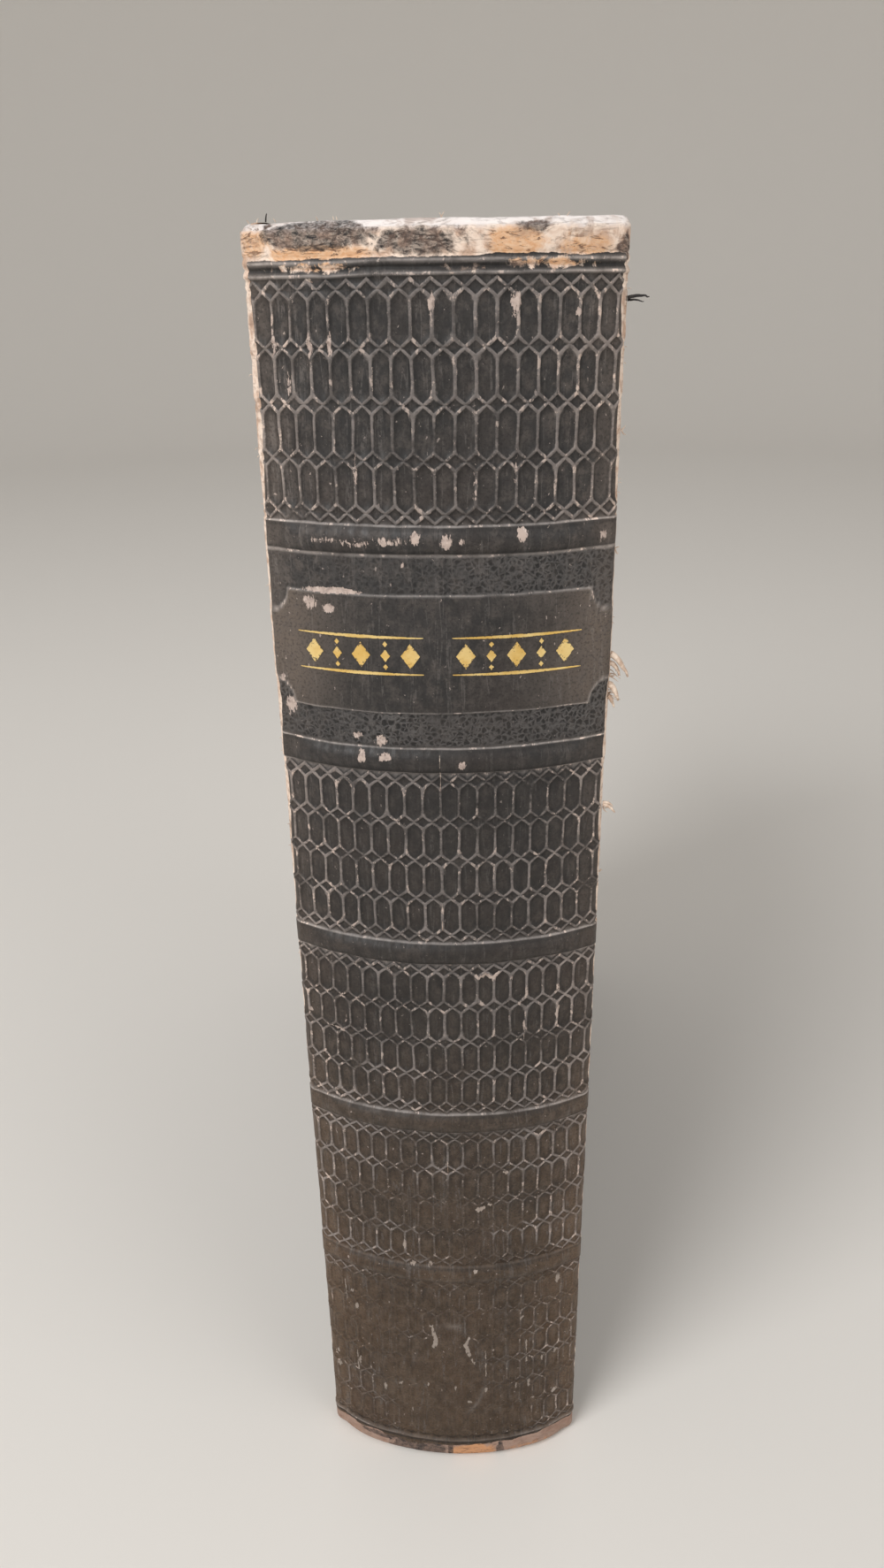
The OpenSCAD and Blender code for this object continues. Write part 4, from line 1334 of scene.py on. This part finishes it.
def build_cover_skin(name, side, look, material):
    """Leather over one board: outer face, rounded edges and the turn-ins inside."""
    corner_r, edge_r, turn_in = 3 * MM, 1.2 * MM, 15 * MM
    near = [d * MM for d in (0.12, 0.3, 0.6, 0.9, 1.2, 1.8, 2.4, 3.0)]
    y = edge_spaced(
        COVER_LOW.y, COVER_HIGH.y, look.grid_step, near, False, [COVER_HIGH.y - turn_in]
    )
    z = edge_spaced(0.0, BOOK_H, look.grid_step, near, True, [turn_in, BOOK_H - turn_in])
    yy, zz = np.meshgrid(y, z)
    from_fore = COVER_HIGH.y - yy
    from_end = np.minimum(zz, BOOK_H - zz)
    a = np.clip(1 - from_fore / corner_r, 0, 1)
    b = np.clip(1 - from_end / corner_r, 0, 1)
    u, v = a * np.sqrt(1 - b**2 / 2), b * np.sqrt(1 - a**2 / 2)
    in_corner = (a > 0) & (b > 0)
    from_fore = np.where(in_corner, corner_r * (1 - u), from_fore)
    from_end = np.where(in_corner, corner_r * (1 - v), from_end)
    inset = np.where(in_corner, corner_r * (1 - np.hypot(u, v)), np.minimum(from_fore, from_end))
    nibble = 0.10 * MM * (1 + wander(yy + zz, yy - zz, 7 * MM, 201 if side > 0 else 211))
    nibble = nibble * (inset < 1 * MM)
    yy = COVER_HIGH.y - from_fore - np.where(from_fore < from_end, nibble, 0)
    bitten = np.where(from_end < from_fore, nibble, 0)
    zz = np.where(zz < BOOK_H / 2, from_end + bitten, BOOK_H - from_end - bitten)

    fall = edge_r - np.sqrt(np.maximum(edge_r**2 - np.maximum(edge_r - inset, 0) ** 2, 0))
    seed = 301 if side > 0 else 311
    relief = (
        0.09 * MM * (1 + wander(yy, zz, 30 * MM, seed))
        + 0.03 * MM * (1 + wander(yy, zz, 5 * MM, seed + 5))
    )
    joint = GROOVE_DEPTH * (1 - ease(0, 4.5 * MM, yy - COVER_LOW.y))
    outer_x = SIDE_X - fall - relief * ease(0.5 * MM, 3 * MM, inset) - joint
    inner_x = COVER_LOW.x + fall
    rows, cols = yy.shape
    count = rows * cols
    outer = np.stack([outer_x, yy, zz], -1).reshape(-1, 3)
    inner = np.stack([inner_x, yy, zz], -1).reshape(-1, 3)
    faces = [list(f) for f in grid_faces(rows, cols)]
    framed = []
    for f in grid_faces(rows, cols):
        r, c = f[0] // cols, f[0] % cols
        centre_y, centre_z = (y[c] + y[c + 1]) / 2, (z[r] + z[r + 1]) / 2
        if centre_y > COVER_HIGH.y - turn_in or centre_z < turn_in or centre_z > BOOK_H - turn_in:
            framed.append([i + count for i in f[::-1]])
    faces += framed
    path = [*range(cols), *(r * cols + cols - 1 for r in range(1, rows))]
    path += [(rows - 1) * cols + c for c in range(cols - 2, -1, -1)]
    middle = [(outer[i] * 0.5 + inner[i] * 0.5) for i in path]
    start = 2 * count
    for n, (i, j) in enumerate(zip(path, path[1:])):
        faces.append([i, start + n, start + n + 1, j])
        faces.append([start + n, i + count, j + count, start + n + 1])
    verts = np.concatenate([outer, inner, np.array(middle)])

    # The lip round the window in the turn-ins, and the cut end at the joint
    fore = int(np.argmin(np.abs(y - (COVER_HIGH.y - turn_in))))
    low, high = int(np.argmin(np.abs(z - turn_in))), int(np.argmin(np.abs(z - (BOOK_H - turn_in))))
    window = [low * cols + c for c in range(fore + 1)]
    window += [r * cols + fore for r in range(low + 1, high + 1)]
    window += [high * cols + c for c in range(fore - 1, -1, -1)]
    start = len(verts)
    verts = np.concatenate([verts, inner[window] + [0.5 * MM, 0, 0]])
    for n, (i, j) in enumerate(zip(window, window[1:])):
        faces.append([i + count, start + n, start + n + 1, j + count][::-1])
    ends = [r * cols for r in range(rows)]
    start = len(verts)
    verts = np.concatenate(
        [verts, outer[ends] - [LEATHER_T, 0, 0], outer[ends] + [-LEATHER_T, 5 * MM, 0]]
    )
    for n in range(rows - 1):
        faces.append([ends[n], ends[n + 1], start + n + 1, start + n])
        faces.append([start + n, start + n + 1, start + rows + n + 1, start + rows + n])

    edge = np.maximum(1 - ease(0.2 * MM, 2.4 * MM, inset), 0) * 0.53
    to_corner = np.hypot(np.maximum(COVER_HIGH.y - yy, 0), np.minimum(zz, BOOK_H - zz))
    edge = np.maximum(edge, 0.95 * (1 - ease(2.5 * MM, 12 * MM, to_corner)))
    near_joint = 0.55 * (1 - ease(0, 3.2 * MM, yy - COVER_LOW.y))
    edge = np.maximum(edge, near_joint * (0.7 + 0.3 * wander(yy, zz, 25 * MM, seed + 9)))
    edge = edge + 0.14 * wander(yy, zz, 40 * MM, seed + 12)
    rest = len(verts) - count
    masks = np.concatenate([edge.ravel(), 0.8 * edge.ravel(), np.full(rest - count, 0.55)])
    masks[2 * count : 2 * count + len(path)] = edge.ravel()[path]
    piece = make_piece(name, verts * [side, 1, 1], facing(side, faces), material)
    add_mask(piece, "edge", masks)
    return piece


def build_hinge_leather(name, side, material):
    """The strip of leather that crosses the joint below the surface of both skins."""
    y = np.linspace(HINGE.y - 2.3 * MM, HINGE.y + 2.3 * MM, 25)
    z = np.linspace(0.7 * MM, BOOK_H - 0.7 * MM, 90)
    away = np.abs(y - HINGE.y)
    outer = SIDE_X - GROOVE_DEPTH - 0.05 * MM - 0.1 * MM * ease(0.2 * MM, 1.5 * MM, away)
    loop_x = np.concatenate([outer, (outer - 0.28 * MM)[::-1]])
    loop_y = np.concatenate([y, y[::-1]])
    n = len(loop_x)
    verts = np.array([[side * loop_x[i], loop_y[i], zz] for zz in z for i in range(n)])
    piece = make_piece(name, verts, facing(side, tube_faces(len(z), n)), material)
    add_mask(piece, "edge", np.full(len(verts), 0.42))
    return piece


def build_joint_paper(name, side, material):
    """The fold of the endpaper, up the leaves' shoulder and back along the board's edge."""
    block_y, board_y = FLYLEAF_LOW.y + 0.36 * MM, PASTEDOWN_LOW.y - 0.06 * MM
    inner_x, outer_x = FLYLEAF_HIGH.x - 1.4 * MM, FLYLEAF_HIGH.x + 0.15 * MM
    mid_y, bow = (block_y + board_y) / 2, (board_y - block_y) / 2
    path = [(inner_x + (outer_x - inner_x) * t, block_y) for t in np.linspace(0, 1, 5)]
    path += [
        (outer_x + bow * math.sin(t), mid_y - bow * math.cos(t))
        for t in np.linspace(0, math.pi, 19)[1:-1]
    ]
    path += [
        (outer_x + (PASTEDOWN_LOW.x + 0.1 * MM - outer_x) * t, board_y)
        for t in np.linspace(0, 1, 9)
    ]
    path = np.array(path)
    across = np.gradient(path, axis=0)
    across = np.stack([-across[:, 1], across[:, 0]], 1)
    across /= np.linalg.norm(across, axis=1)[:, None]
    loop = np.concatenate([path + across * 0.05 * MM, (path - across * 0.05 * MM)[::-1]])
    z = np.linspace(BLOCK_LOW.z + 0.3 * MM, BLOCK_HIGH.z - 0.3 * MM, 40)
    n = len(loop)
    verts = np.array([[side * p[0], p[1], zz] for zz in z for p in loop])
    faces = facing(side, tube_faces(len(z), n))
    return make_piece(name, verts, faces, material), block_y, board_y


# ---------------------------------------------------------------------------
# Leaves and headbands
# ---------------------------------------------------------------------------
def build_leaves(look, material):
    """The sewn leaves: rounded back, shoulders and hollow fore-edge, with uneven sections."""
    half = BLOCK_HIGH.x
    flank = FLYLEAF_LOW.x - 0.05 * MM
    shoulder_y = FLYLEAF_LOW.y - 0.05 * MM
    back_r = BACK_R - (BLOCK_LOW.y - FRONT_Y)
    hollow = 7 * MM
    hollow_r = (flank**2 + hollow**2) / (2 * hollow)
    wing = half - flank
    x = np.concatenate([
        -half + wing * np.array([0, 0.25, 0.5, 0.75, 0.995]),
        np.linspace(-flank, flank, 231),
        half - wing * np.array([0.995, 0.75, 0.5, 0.25, 0]),
    ])
    back_y = FRONT_Y + BACK_R - np.sqrt(back_r**2 - x**2)
    fore_y = (
        BLOCK_HIGH.y - hollow + hollow_r - np.sqrt(hollow_r**2 - np.minimum(np.abs(x), flank) ** 2)
    )
    fore_y = np.where(np.abs(x) > flank + 1e-9, shoulder_y, fore_y)
    fore_y = np.minimum(fore_y, BLOCK_HIGH.y)
    section = np.floor((x + half) / (2 * half) * look.gatherings)
    section_step = cell_value(section, section * 0, 401) * 0.5 + 0.5
    leaf_step = cell_value(np.arange(len(x)).astype(float), np.zeros(len(x)), 402) * 0.5 + 0.5
    back = look.unevenness * (0.55 * section_step + 0.45 * leaf_step)
    in_leaf = (np.abs(x) < flank).astype(float)
    loop = []
    for share in np.linspace(0, 1, 14):
        y = back_y + (fore_y - back * in_leaf - back_y) * share
        loop.append((y, BLOCK_LOW.z + back * (0.35 + 0.65 * share)))
    for share in np.linspace(0, 1, 46)[1:-1]:
        z = BLOCK_LOW.z + (BLOCK_HIGH.z - BLOCK_LOW.z) * share
        wave = look.unevenness * 0.5 * (wander(x, x * 0 + z, 40 * MM, 403) * 0.5 + 0.5)
        loop.append((fore_y - (back + wave) * in_leaf, x * 0 + z))
    for share in np.linspace(1, 0, 14):
        y = back_y + (fore_y - back * in_leaf - back_y) * share
        loop.append((y, BLOCK_HIGH.z - back[::-1] * (0.35 + 0.65 * share)))
    for share in np.linspace(1, 0, 22)[1:-1]:
        loop.append((back_y, BLOCK_LOW.z + (BLOCK_HIGH.z - BLOCK_LOW.z) * share + x * 0))
    verts = np.concatenate([np.stack([x, y, z], -1) for y, z in loop])
    rows, cols = len(loop), len(x)
    faces = [list(f)[::-1] for f in grid_faces(rows, cols, closed=True)]
    faces.append([r * cols for r in range(rows)][::-1])
    faces.append([r * cols + cols - 1 for r in range(rows)])
    return make_piece("leaves", verts, faces, material, smooth=False)


def build_headband(name, node, material):
    """Silk wound over a core in two colours, with a bead of loops along its foot."""
    low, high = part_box(node)
    middle_z = (low.z + high.z) / 2
    radius = (high.z - low.z) / 2
    arc_r = BACK_R - (BLOCK_LOW.y - FRONT_Y) - radius
    half_angle = math.asin(high.x / (arc_r + radius)) - 0.01
    wind = 0.9 * MM
    turns = int(2 * half_angle * arc_r / wind)
    steps = turns * 7
    parts, strands = [], []
    for kind in ("core", "bead"):
        angle = np.linspace(-half_angle, half_angle, steps)
        along = (angle + half_angle) * arc_r / wind
        swell = np.abs(np.sin(math.pi * along)) ** 0.6
        strand = (np.floor(along) % 4 < 2).astype(float)
        if kind == "core":
            r = radius * (0.86 + 0.12 * swell)
            radial, up = arc_r, 0.0
            sides = 12
        else:
            r = radius * 0.30 * (0.75 + 0.25 * swell)
            radial = arc_r - radius * 0.66
            up = -radius * 0.66 if middle_z > BOOK_H / 2 else radius * 0.66
            strand = 1 - strand
            sides = 8
        across, depth = radial * np.sin(angle), FRONT_Y + BACK_R - radial * np.cos(angle)
        centres = np.stack([across, depth, middle_z + up + 0 * angle], 1)
        parts.append(sweep_tube(centres, r, sides))
        strands.append(np.repeat(strand, sides))
    verts, faces = joined(parts)
    piece = make_piece(name, verts, faces, material)
    add_mask(piece, "strand", np.concatenate(strands))
    return piece


# ---------------------------------------------------------------------------
# Loose threads at the worn edges
# ---------------------------------------------------------------------------
def thread(start, reach, rise, curl, radius, seed):
    """One curling fibre that leaves the skin at start."""
    maker = random.Random(seed)
    points = []
    for i in range(12):
        t = i / 11
        bend = curl * math.sin(t * math.pi * maker.uniform(0.8, 1.2))
        points.append(
            (start[0] + reach * t, start[1] - abs(reach) * 0.3 * t, start[2] + rise * t + bend)
        )
    radii = [radius * (1 - 0.7 * (i / 11) ** 2) for i in range(12)]
    return sweep_tube(points, radii, 6)


def build_threads(dark, pale):
    """Tufts at both side edges and short hairs along the folded head."""
    def edge_point(s, z):
        return on_back(np.array(s * MM), z * MM, 0.1 * MM)

    strip = [thread(edge_point(34.6, 277.6), 3.4 * MM, 0.1 * MM, 0.25 * MM, 0.32 * MM, 1)]
    strip += [thread(edge_point(34.8, 277.2), 2.6 * MM, -0.3 * MM, 0.2 * MM, 0.2 * MM, 2)]
    at_head = [thread(edge_point(-27.6, 289.6), 0.3 * MM, 1.2 * MM, 0.3 * MM, 0.13 * MM, 3)]
    torn = [
        ((34.3, 216.4), 3.4, -4.4, 0.9, 0.62, 21), ((34.4, 214.6), 2.0, -2.4, 0.6, 0.5, 22),
        ((34.2, 210.4), 1.9, -3.2, 0.8, 0.66, 23), ((34.3, 208.0), 1.2, -2.2, 0.4, 0.45, 25),
        ((34.3, 184.9), 2.4, -1.2, 0.4, 0.42, 24), ((34.3, 185.4), 1.9, -0.4, 0.3, 0.32, 26),
    ]
    tufts = [
        thread(edge_point(*at), reach * MM, rise * MM, curl * MM, radius * MM, seed)
        for at, reach, rise, curl, radius, seed in torn
    ]
    maker = random.Random(7)
    for height, count, length in (
        (212.5, 5, 2.2), (208.5, 6, 2.4), (184.5, 4, 1.8), (256, 2, 0.8), (236, 2, 0.7),
        (170, 2, 0.6),
    ):
        for _ in range(count):
            start = edge_point(maker.uniform(34.4, 35.4), height + maker.uniform(-0.9, 0.9))
            tufts.append(
                thread(
                    start, length * maker.uniform(0.4, 1) * MM, maker.uniform(-1.2, 1.0) * MM,
                    maker.uniform(-0.4, 0.5) * MM, 0.11 * MM, maker.random(),
                )
            )
    hairs, left = [], []
    for _ in range(10):
        start = edge_point(maker.uniform(-31, 31), 289.5)
        hairs.append(
            thread(
                start, maker.uniform(-0.5, 0.5) * MM, maker.uniform(0.4, 0.9) * MM, 0.1 * MM,
                0.07 * MM, maker.random(),
            )
        )
    for _ in range(22):
        side = maker.choice((-1, 1))
        start = edge_point(side * maker.uniform(34.4, 35.6), maker.uniform(120, 288))
        fibre = thread(
            start, side * maker.uniform(0.25, 0.6) * MM, maker.uniform(-0.5, 0.5) * MM, 0.1 * MM,
            0.06 * MM, maker.random(),
        )
        (tufts if side > 0 else left).append(fibre)
    pieces = []
    for name, tubes, material, side in (
        ("dark_thread_right", strip, dark, 1), ("dark_thread_head", at_head, dark, 0),
        ("pale_fibres_right", tufts, pale, 1), ("pale_fibres_left", left, pale, -1),
        ("pale_fibres_head", hairs, pale, 0),
    ):
        verts, faces = joined(tubes)
        piece = make_piece(name, verts, faces, material)
        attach(piece, "book_block")
        if side:
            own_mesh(piece)
        pieces.append(piece)
    return pieces


# ---------------------------------------------------------------------------
# Operators
# ---------------------------------------------------------------------------
class BOOK_OT_groups(Operator):
    """Builds the shader groups that several materials share"""

    bl_idname = "book.groups"
    bl_label = "Shared effects"

    def execute(self, context):
        build_leather_grain()
        build_rubbing()
        build_mottling()
        return {"FINISHED"}


class BOOK_OT_spine(Operator):
    """Builds the embossed leather of the spine and the gilt ornament"""

    bl_idname = "book.spine"
    bl_label = "Spine"

    def execute(self, context):
        look = context.scene.book_spine
        skin = build_spine(look, spine_skin_material(look))
        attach(skin, "book_block")
        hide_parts("spine_leather")
        ornament = build_ornament(look, gilt_material())
        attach(ornament, "book_block")
        return {"FINISHED"}


class BOOK_OT_covers(Operator):
    """Builds the covers' leather and the leather that crosses each joint"""

    bl_idname = "book.covers"
    bl_label = "Covers"

    def execute(self, context):
        look, spine_look = context.scene.book_covers, context.scene.book_spine
        leather = cover_skin_material(look, spine_look)
        for body, side in (("front", 1), ("back", -1)):
            skin = build_cover_skin(f"{body}_cover_skin", side, look, leather)
            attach(skin, f"{body}_cover")
            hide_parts(f"{body}_leather")
            strip = build_hinge_leather(f"{body}_joint_leather", side, leather)
            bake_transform(strip)
        return {"FINISHED"}


class BOOK_OT_leaves(Operator):
    """Builds the leaves, the headbands and the folds of the endpapers"""

    bl_idname = "book.leaves"
    bl_label = "Leaves"

    def execute(self, context):
        look = context.scene.book_pages
        leaves = build_leaves(look, leaf_edge_material(look))
        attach(leaves, "book_block")
        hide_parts("text_block")
        silk = silk_material(look)
        for end in ("head", "tail"):
            band = build_headband(f"wound_{end}band", f"headband_{end}", silk)
            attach(band, "book_block")
            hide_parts(f"headband_{end}")
        paper = paper_material(look)
        for body, side in (("front", 1), ("back", -1)):
            for part in ("flyleaf", "pastedown"):
                dress(f"{body}_{part}", paper)
            fold, start_y, end_y = build_joint_paper(f"{body}_joint_paper", side, paper)
            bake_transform(fold)
        return {"FINISHED"}


def dress(node, material):
    mesh = frame["nodes"][node].data
    mesh.materials.clear()
    mesh.materials.append(material)


class BOOK_OT_inside(Operator):
    """Gives the boards, cords, lining and cloth their materials"""

    bl_idname = "book.inside"
    bl_label = "Inside"

    def execute(self, context):
        board = fibrous_material(
            "board", (0.16, 0.115, 0.07), (0.30, 0.23, 0.15), (500.0, 90.0, 90.0)
        )
        for body in ("front", "back"):
            dress(f"{body}_board", board)
        card = fibrous_material(
            "lining_card", (0.22, 0.16, 0.09), (0.36, 0.28, 0.18), (600.0, 600.0, 80.0), 0.4
        )
        dress("spine_lining", card)
        hemp = fibrous_material(
            "hemp_cord", (0.24, 0.16, 0.08), (0.55, 0.43, 0.26), (300.0, 300.0, 2600.0), 0.9,
            0.2 * MM,
        )
        for i in range(1, BAND_COUNT + 1):
            dress(f"false_band_{i}", card)
            dress(f"sewing_cord_{i}", hemp)
        kraft = fibrous_material(
            "kraft_paper", (0.33, 0.22, 0.12), (0.50, 0.37, 0.22), (900.0, 900.0, 120.0), 0.4,
            0.05 * MM,
        )
        dress("spine_tube", kraft)
        dress("spine_mull", mull_material())
        return {"FINISHED"}


class BOOK_OT_threads(Operator):
    """Adds the loose threads and fibres at the worn edges"""

    bl_idname = "book.threads"
    bl_label = "Loose threads"

    def execute(self, context):
        dark = fibre_material("dark_fibre", (0.016, 0.014, 0.014), (0.05, 0.045, 0.042))
        pale = fibre_material("pale_fibre", (0.50, 0.36, 0.27), (0.80, 0.66, 0.54))
        for piece in build_threads(dark, pale):
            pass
        return {"FINISHED"}


class BOOK_OT_stage(Operator):
    """Sets up the floor, the soft lights and the camera"""

    bl_idname = "book.stage"
    bl_label = "Stage"

    def execute(self, context):
        look = context.scene.book_stage
        self.add_floor(look)
        self.add_light("key_light", (-0.75, -0.95, 1.15), 0.9, look.key_power)
        self.add_light("fill_light", (1.1, -0.8, 0.7), 1.2, look.fill_power)
        self.add_camera(look)
        world = bpy.data.worlds.new("soft_studio")
        world.use_nodes = True
        world.node_tree.nodes["Background"].inputs["Color"].default_value = (1, 0.99, 0.975, 1)
        world.node_tree.nodes["Background"].inputs["Strength"].default_value = look.ambient
        context.scene.world = world
        context.scene.view_settings.view_transform = "Standard"
        return {"FINISHED"}

    def add_floor(self, look):
        """A round floor that curves up into a backdrop on every side."""
        bend_y, bend_r = 1.8, 0.9
        profile = [(r, 0.0) for r in (0.3, 0.6, 0.9, 1.2, 1.5, bend_y)]
        profile += [
            (bend_y + bend_r * math.sin(t), bend_r * (1 - math.cos(t)))
            for t in np.linspace(0, math.pi / 2, 20)[1:]
        ]
        profile += [(bend_y + bend_r, z) for z in (1.3, 1.7, 2.1)]
        around = 96
        turn = np.linspace(0, 2 * math.pi, around + 1)[:-1]
        verts = [[r * math.cos(t), r * math.sin(t), z] for r, z in profile for t in turn]
        faces = []
        for i in range(len(profile) - 1):
            low, high = i * around, (i + 1) * around
            for j in range(around):
                k = (j + 1) % around
                faces.append([low + j, high + j, high + k, low + k])
        faces.append(list(range(around)))
        floor = make_piece("floor", verts, faces, floor_material(look))

    def add_light(self, name, place, size, power):
        light = bpy.data.lights.new(name, "AREA")
        light.shape = "DISK"
        light.size = size
        light.energy = power
        lamp = bpy.data.objects.new(name, light)
        bpy.context.scene.collection.objects.link(lamp)
        lamp.location = place
        aim = Vector((0, -0.05, 0.14)) - lamp.location
        lamp.rotation_euler = aim.to_track_quat("-Z", "Y").to_euler()

    def add_camera(self, look):
        """The photograph's viewpoint, fitted from the spine's outline and bands."""
        place = Vector((0.0110, FRONT_Y - 0.1902, 0.2807))
        pitch, roll, yaw = math.radians(24.55), math.radians(-1.01), math.radians(-3.22)
        forward = Vector(
            (math.sin(yaw) * math.cos(pitch), math.cos(yaw) * math.cos(pitch), -math.sin(pitch))
        )
        level = Vector((math.cos(yaw), -math.sin(yaw), 0))
        up = level.cross(forward)
        right = level * math.cos(roll) + up * math.sin(roll)
        top = up * math.cos(roll) - level * math.sin(roll)
        data = bpy.data.cameras.new("camera")
        data.sensor_width = 36
        data.lens = 36 * look.focal
        data.clip_start = 0.01
        camera = bpy.data.objects.new("camera", data)
        bpy.context.scene.collection.objects.link(camera)
        turned = Matrix((right, top, -forward)).transposed().to_4x4()
        camera.matrix_world = Matrix.Translation(place) @ turned
        bpy.context.scene.camera = camera


class BOOK_PT_panel(Panel):
    bl_idname = "BOOK_PT_panel"
    bl_label = "Antique leather book"
    bl_space_type = "VIEW_3D"
    bl_region_type = "UI"
    bl_category = "Book"

    def draw(self, context):
        for operator in OPERATORS:
            self.layout.operator(operator.bl_idname)
        for name, group in SETTINGS.items():
            box = self.layout.box()
            for setting in group.__annotations__:
                box.prop(getattr(context.scene, name), setting)


OPERATORS = (
    BOOK_OT_groups, BOOK_OT_stage, BOOK_OT_spine, BOOK_OT_covers, BOOK_OT_leaves, BOOK_OT_inside,
    BOOK_OT_threads,
)
SETTINGS = {
    "book_spine": SpineSettings, "book_covers": CoverSettings, "book_pages": PagesSettings,
    "book_stage": StageSettings,
}


def register():
    for group in SETTINGS.values():
        bpy.utils.register_class(group)
    for name, group in SETTINGS.items():
        setattr(bpy.types.Scene, name, PointerProperty(type=group))
    for operator in OPERATORS:
        bpy.utils.register_class(operator)
    bpy.utils.register_class(BOOK_PT_panel)


def unregister():
    bpy.utils.unregister_class(BOOK_PT_panel)
    for operator in reversed(OPERATORS):
        bpy.utils.unregister_class(operator)
    for name, group in SETTINGS.items():
        delattr(bpy.types.Scene, name)
        bpy.utils.unregister_class(group)


def main():
    register()
    bpy.ops.book.groups()
    bpy.ops.book.stage()
    bpy.ops.book.spine()
    bpy.ops.book.covers()
    bpy.ops.book.leaves()
    bpy.ops.book.inside()
    bpy.ops.book.threads()


if __name__ == "__main__":
    main()
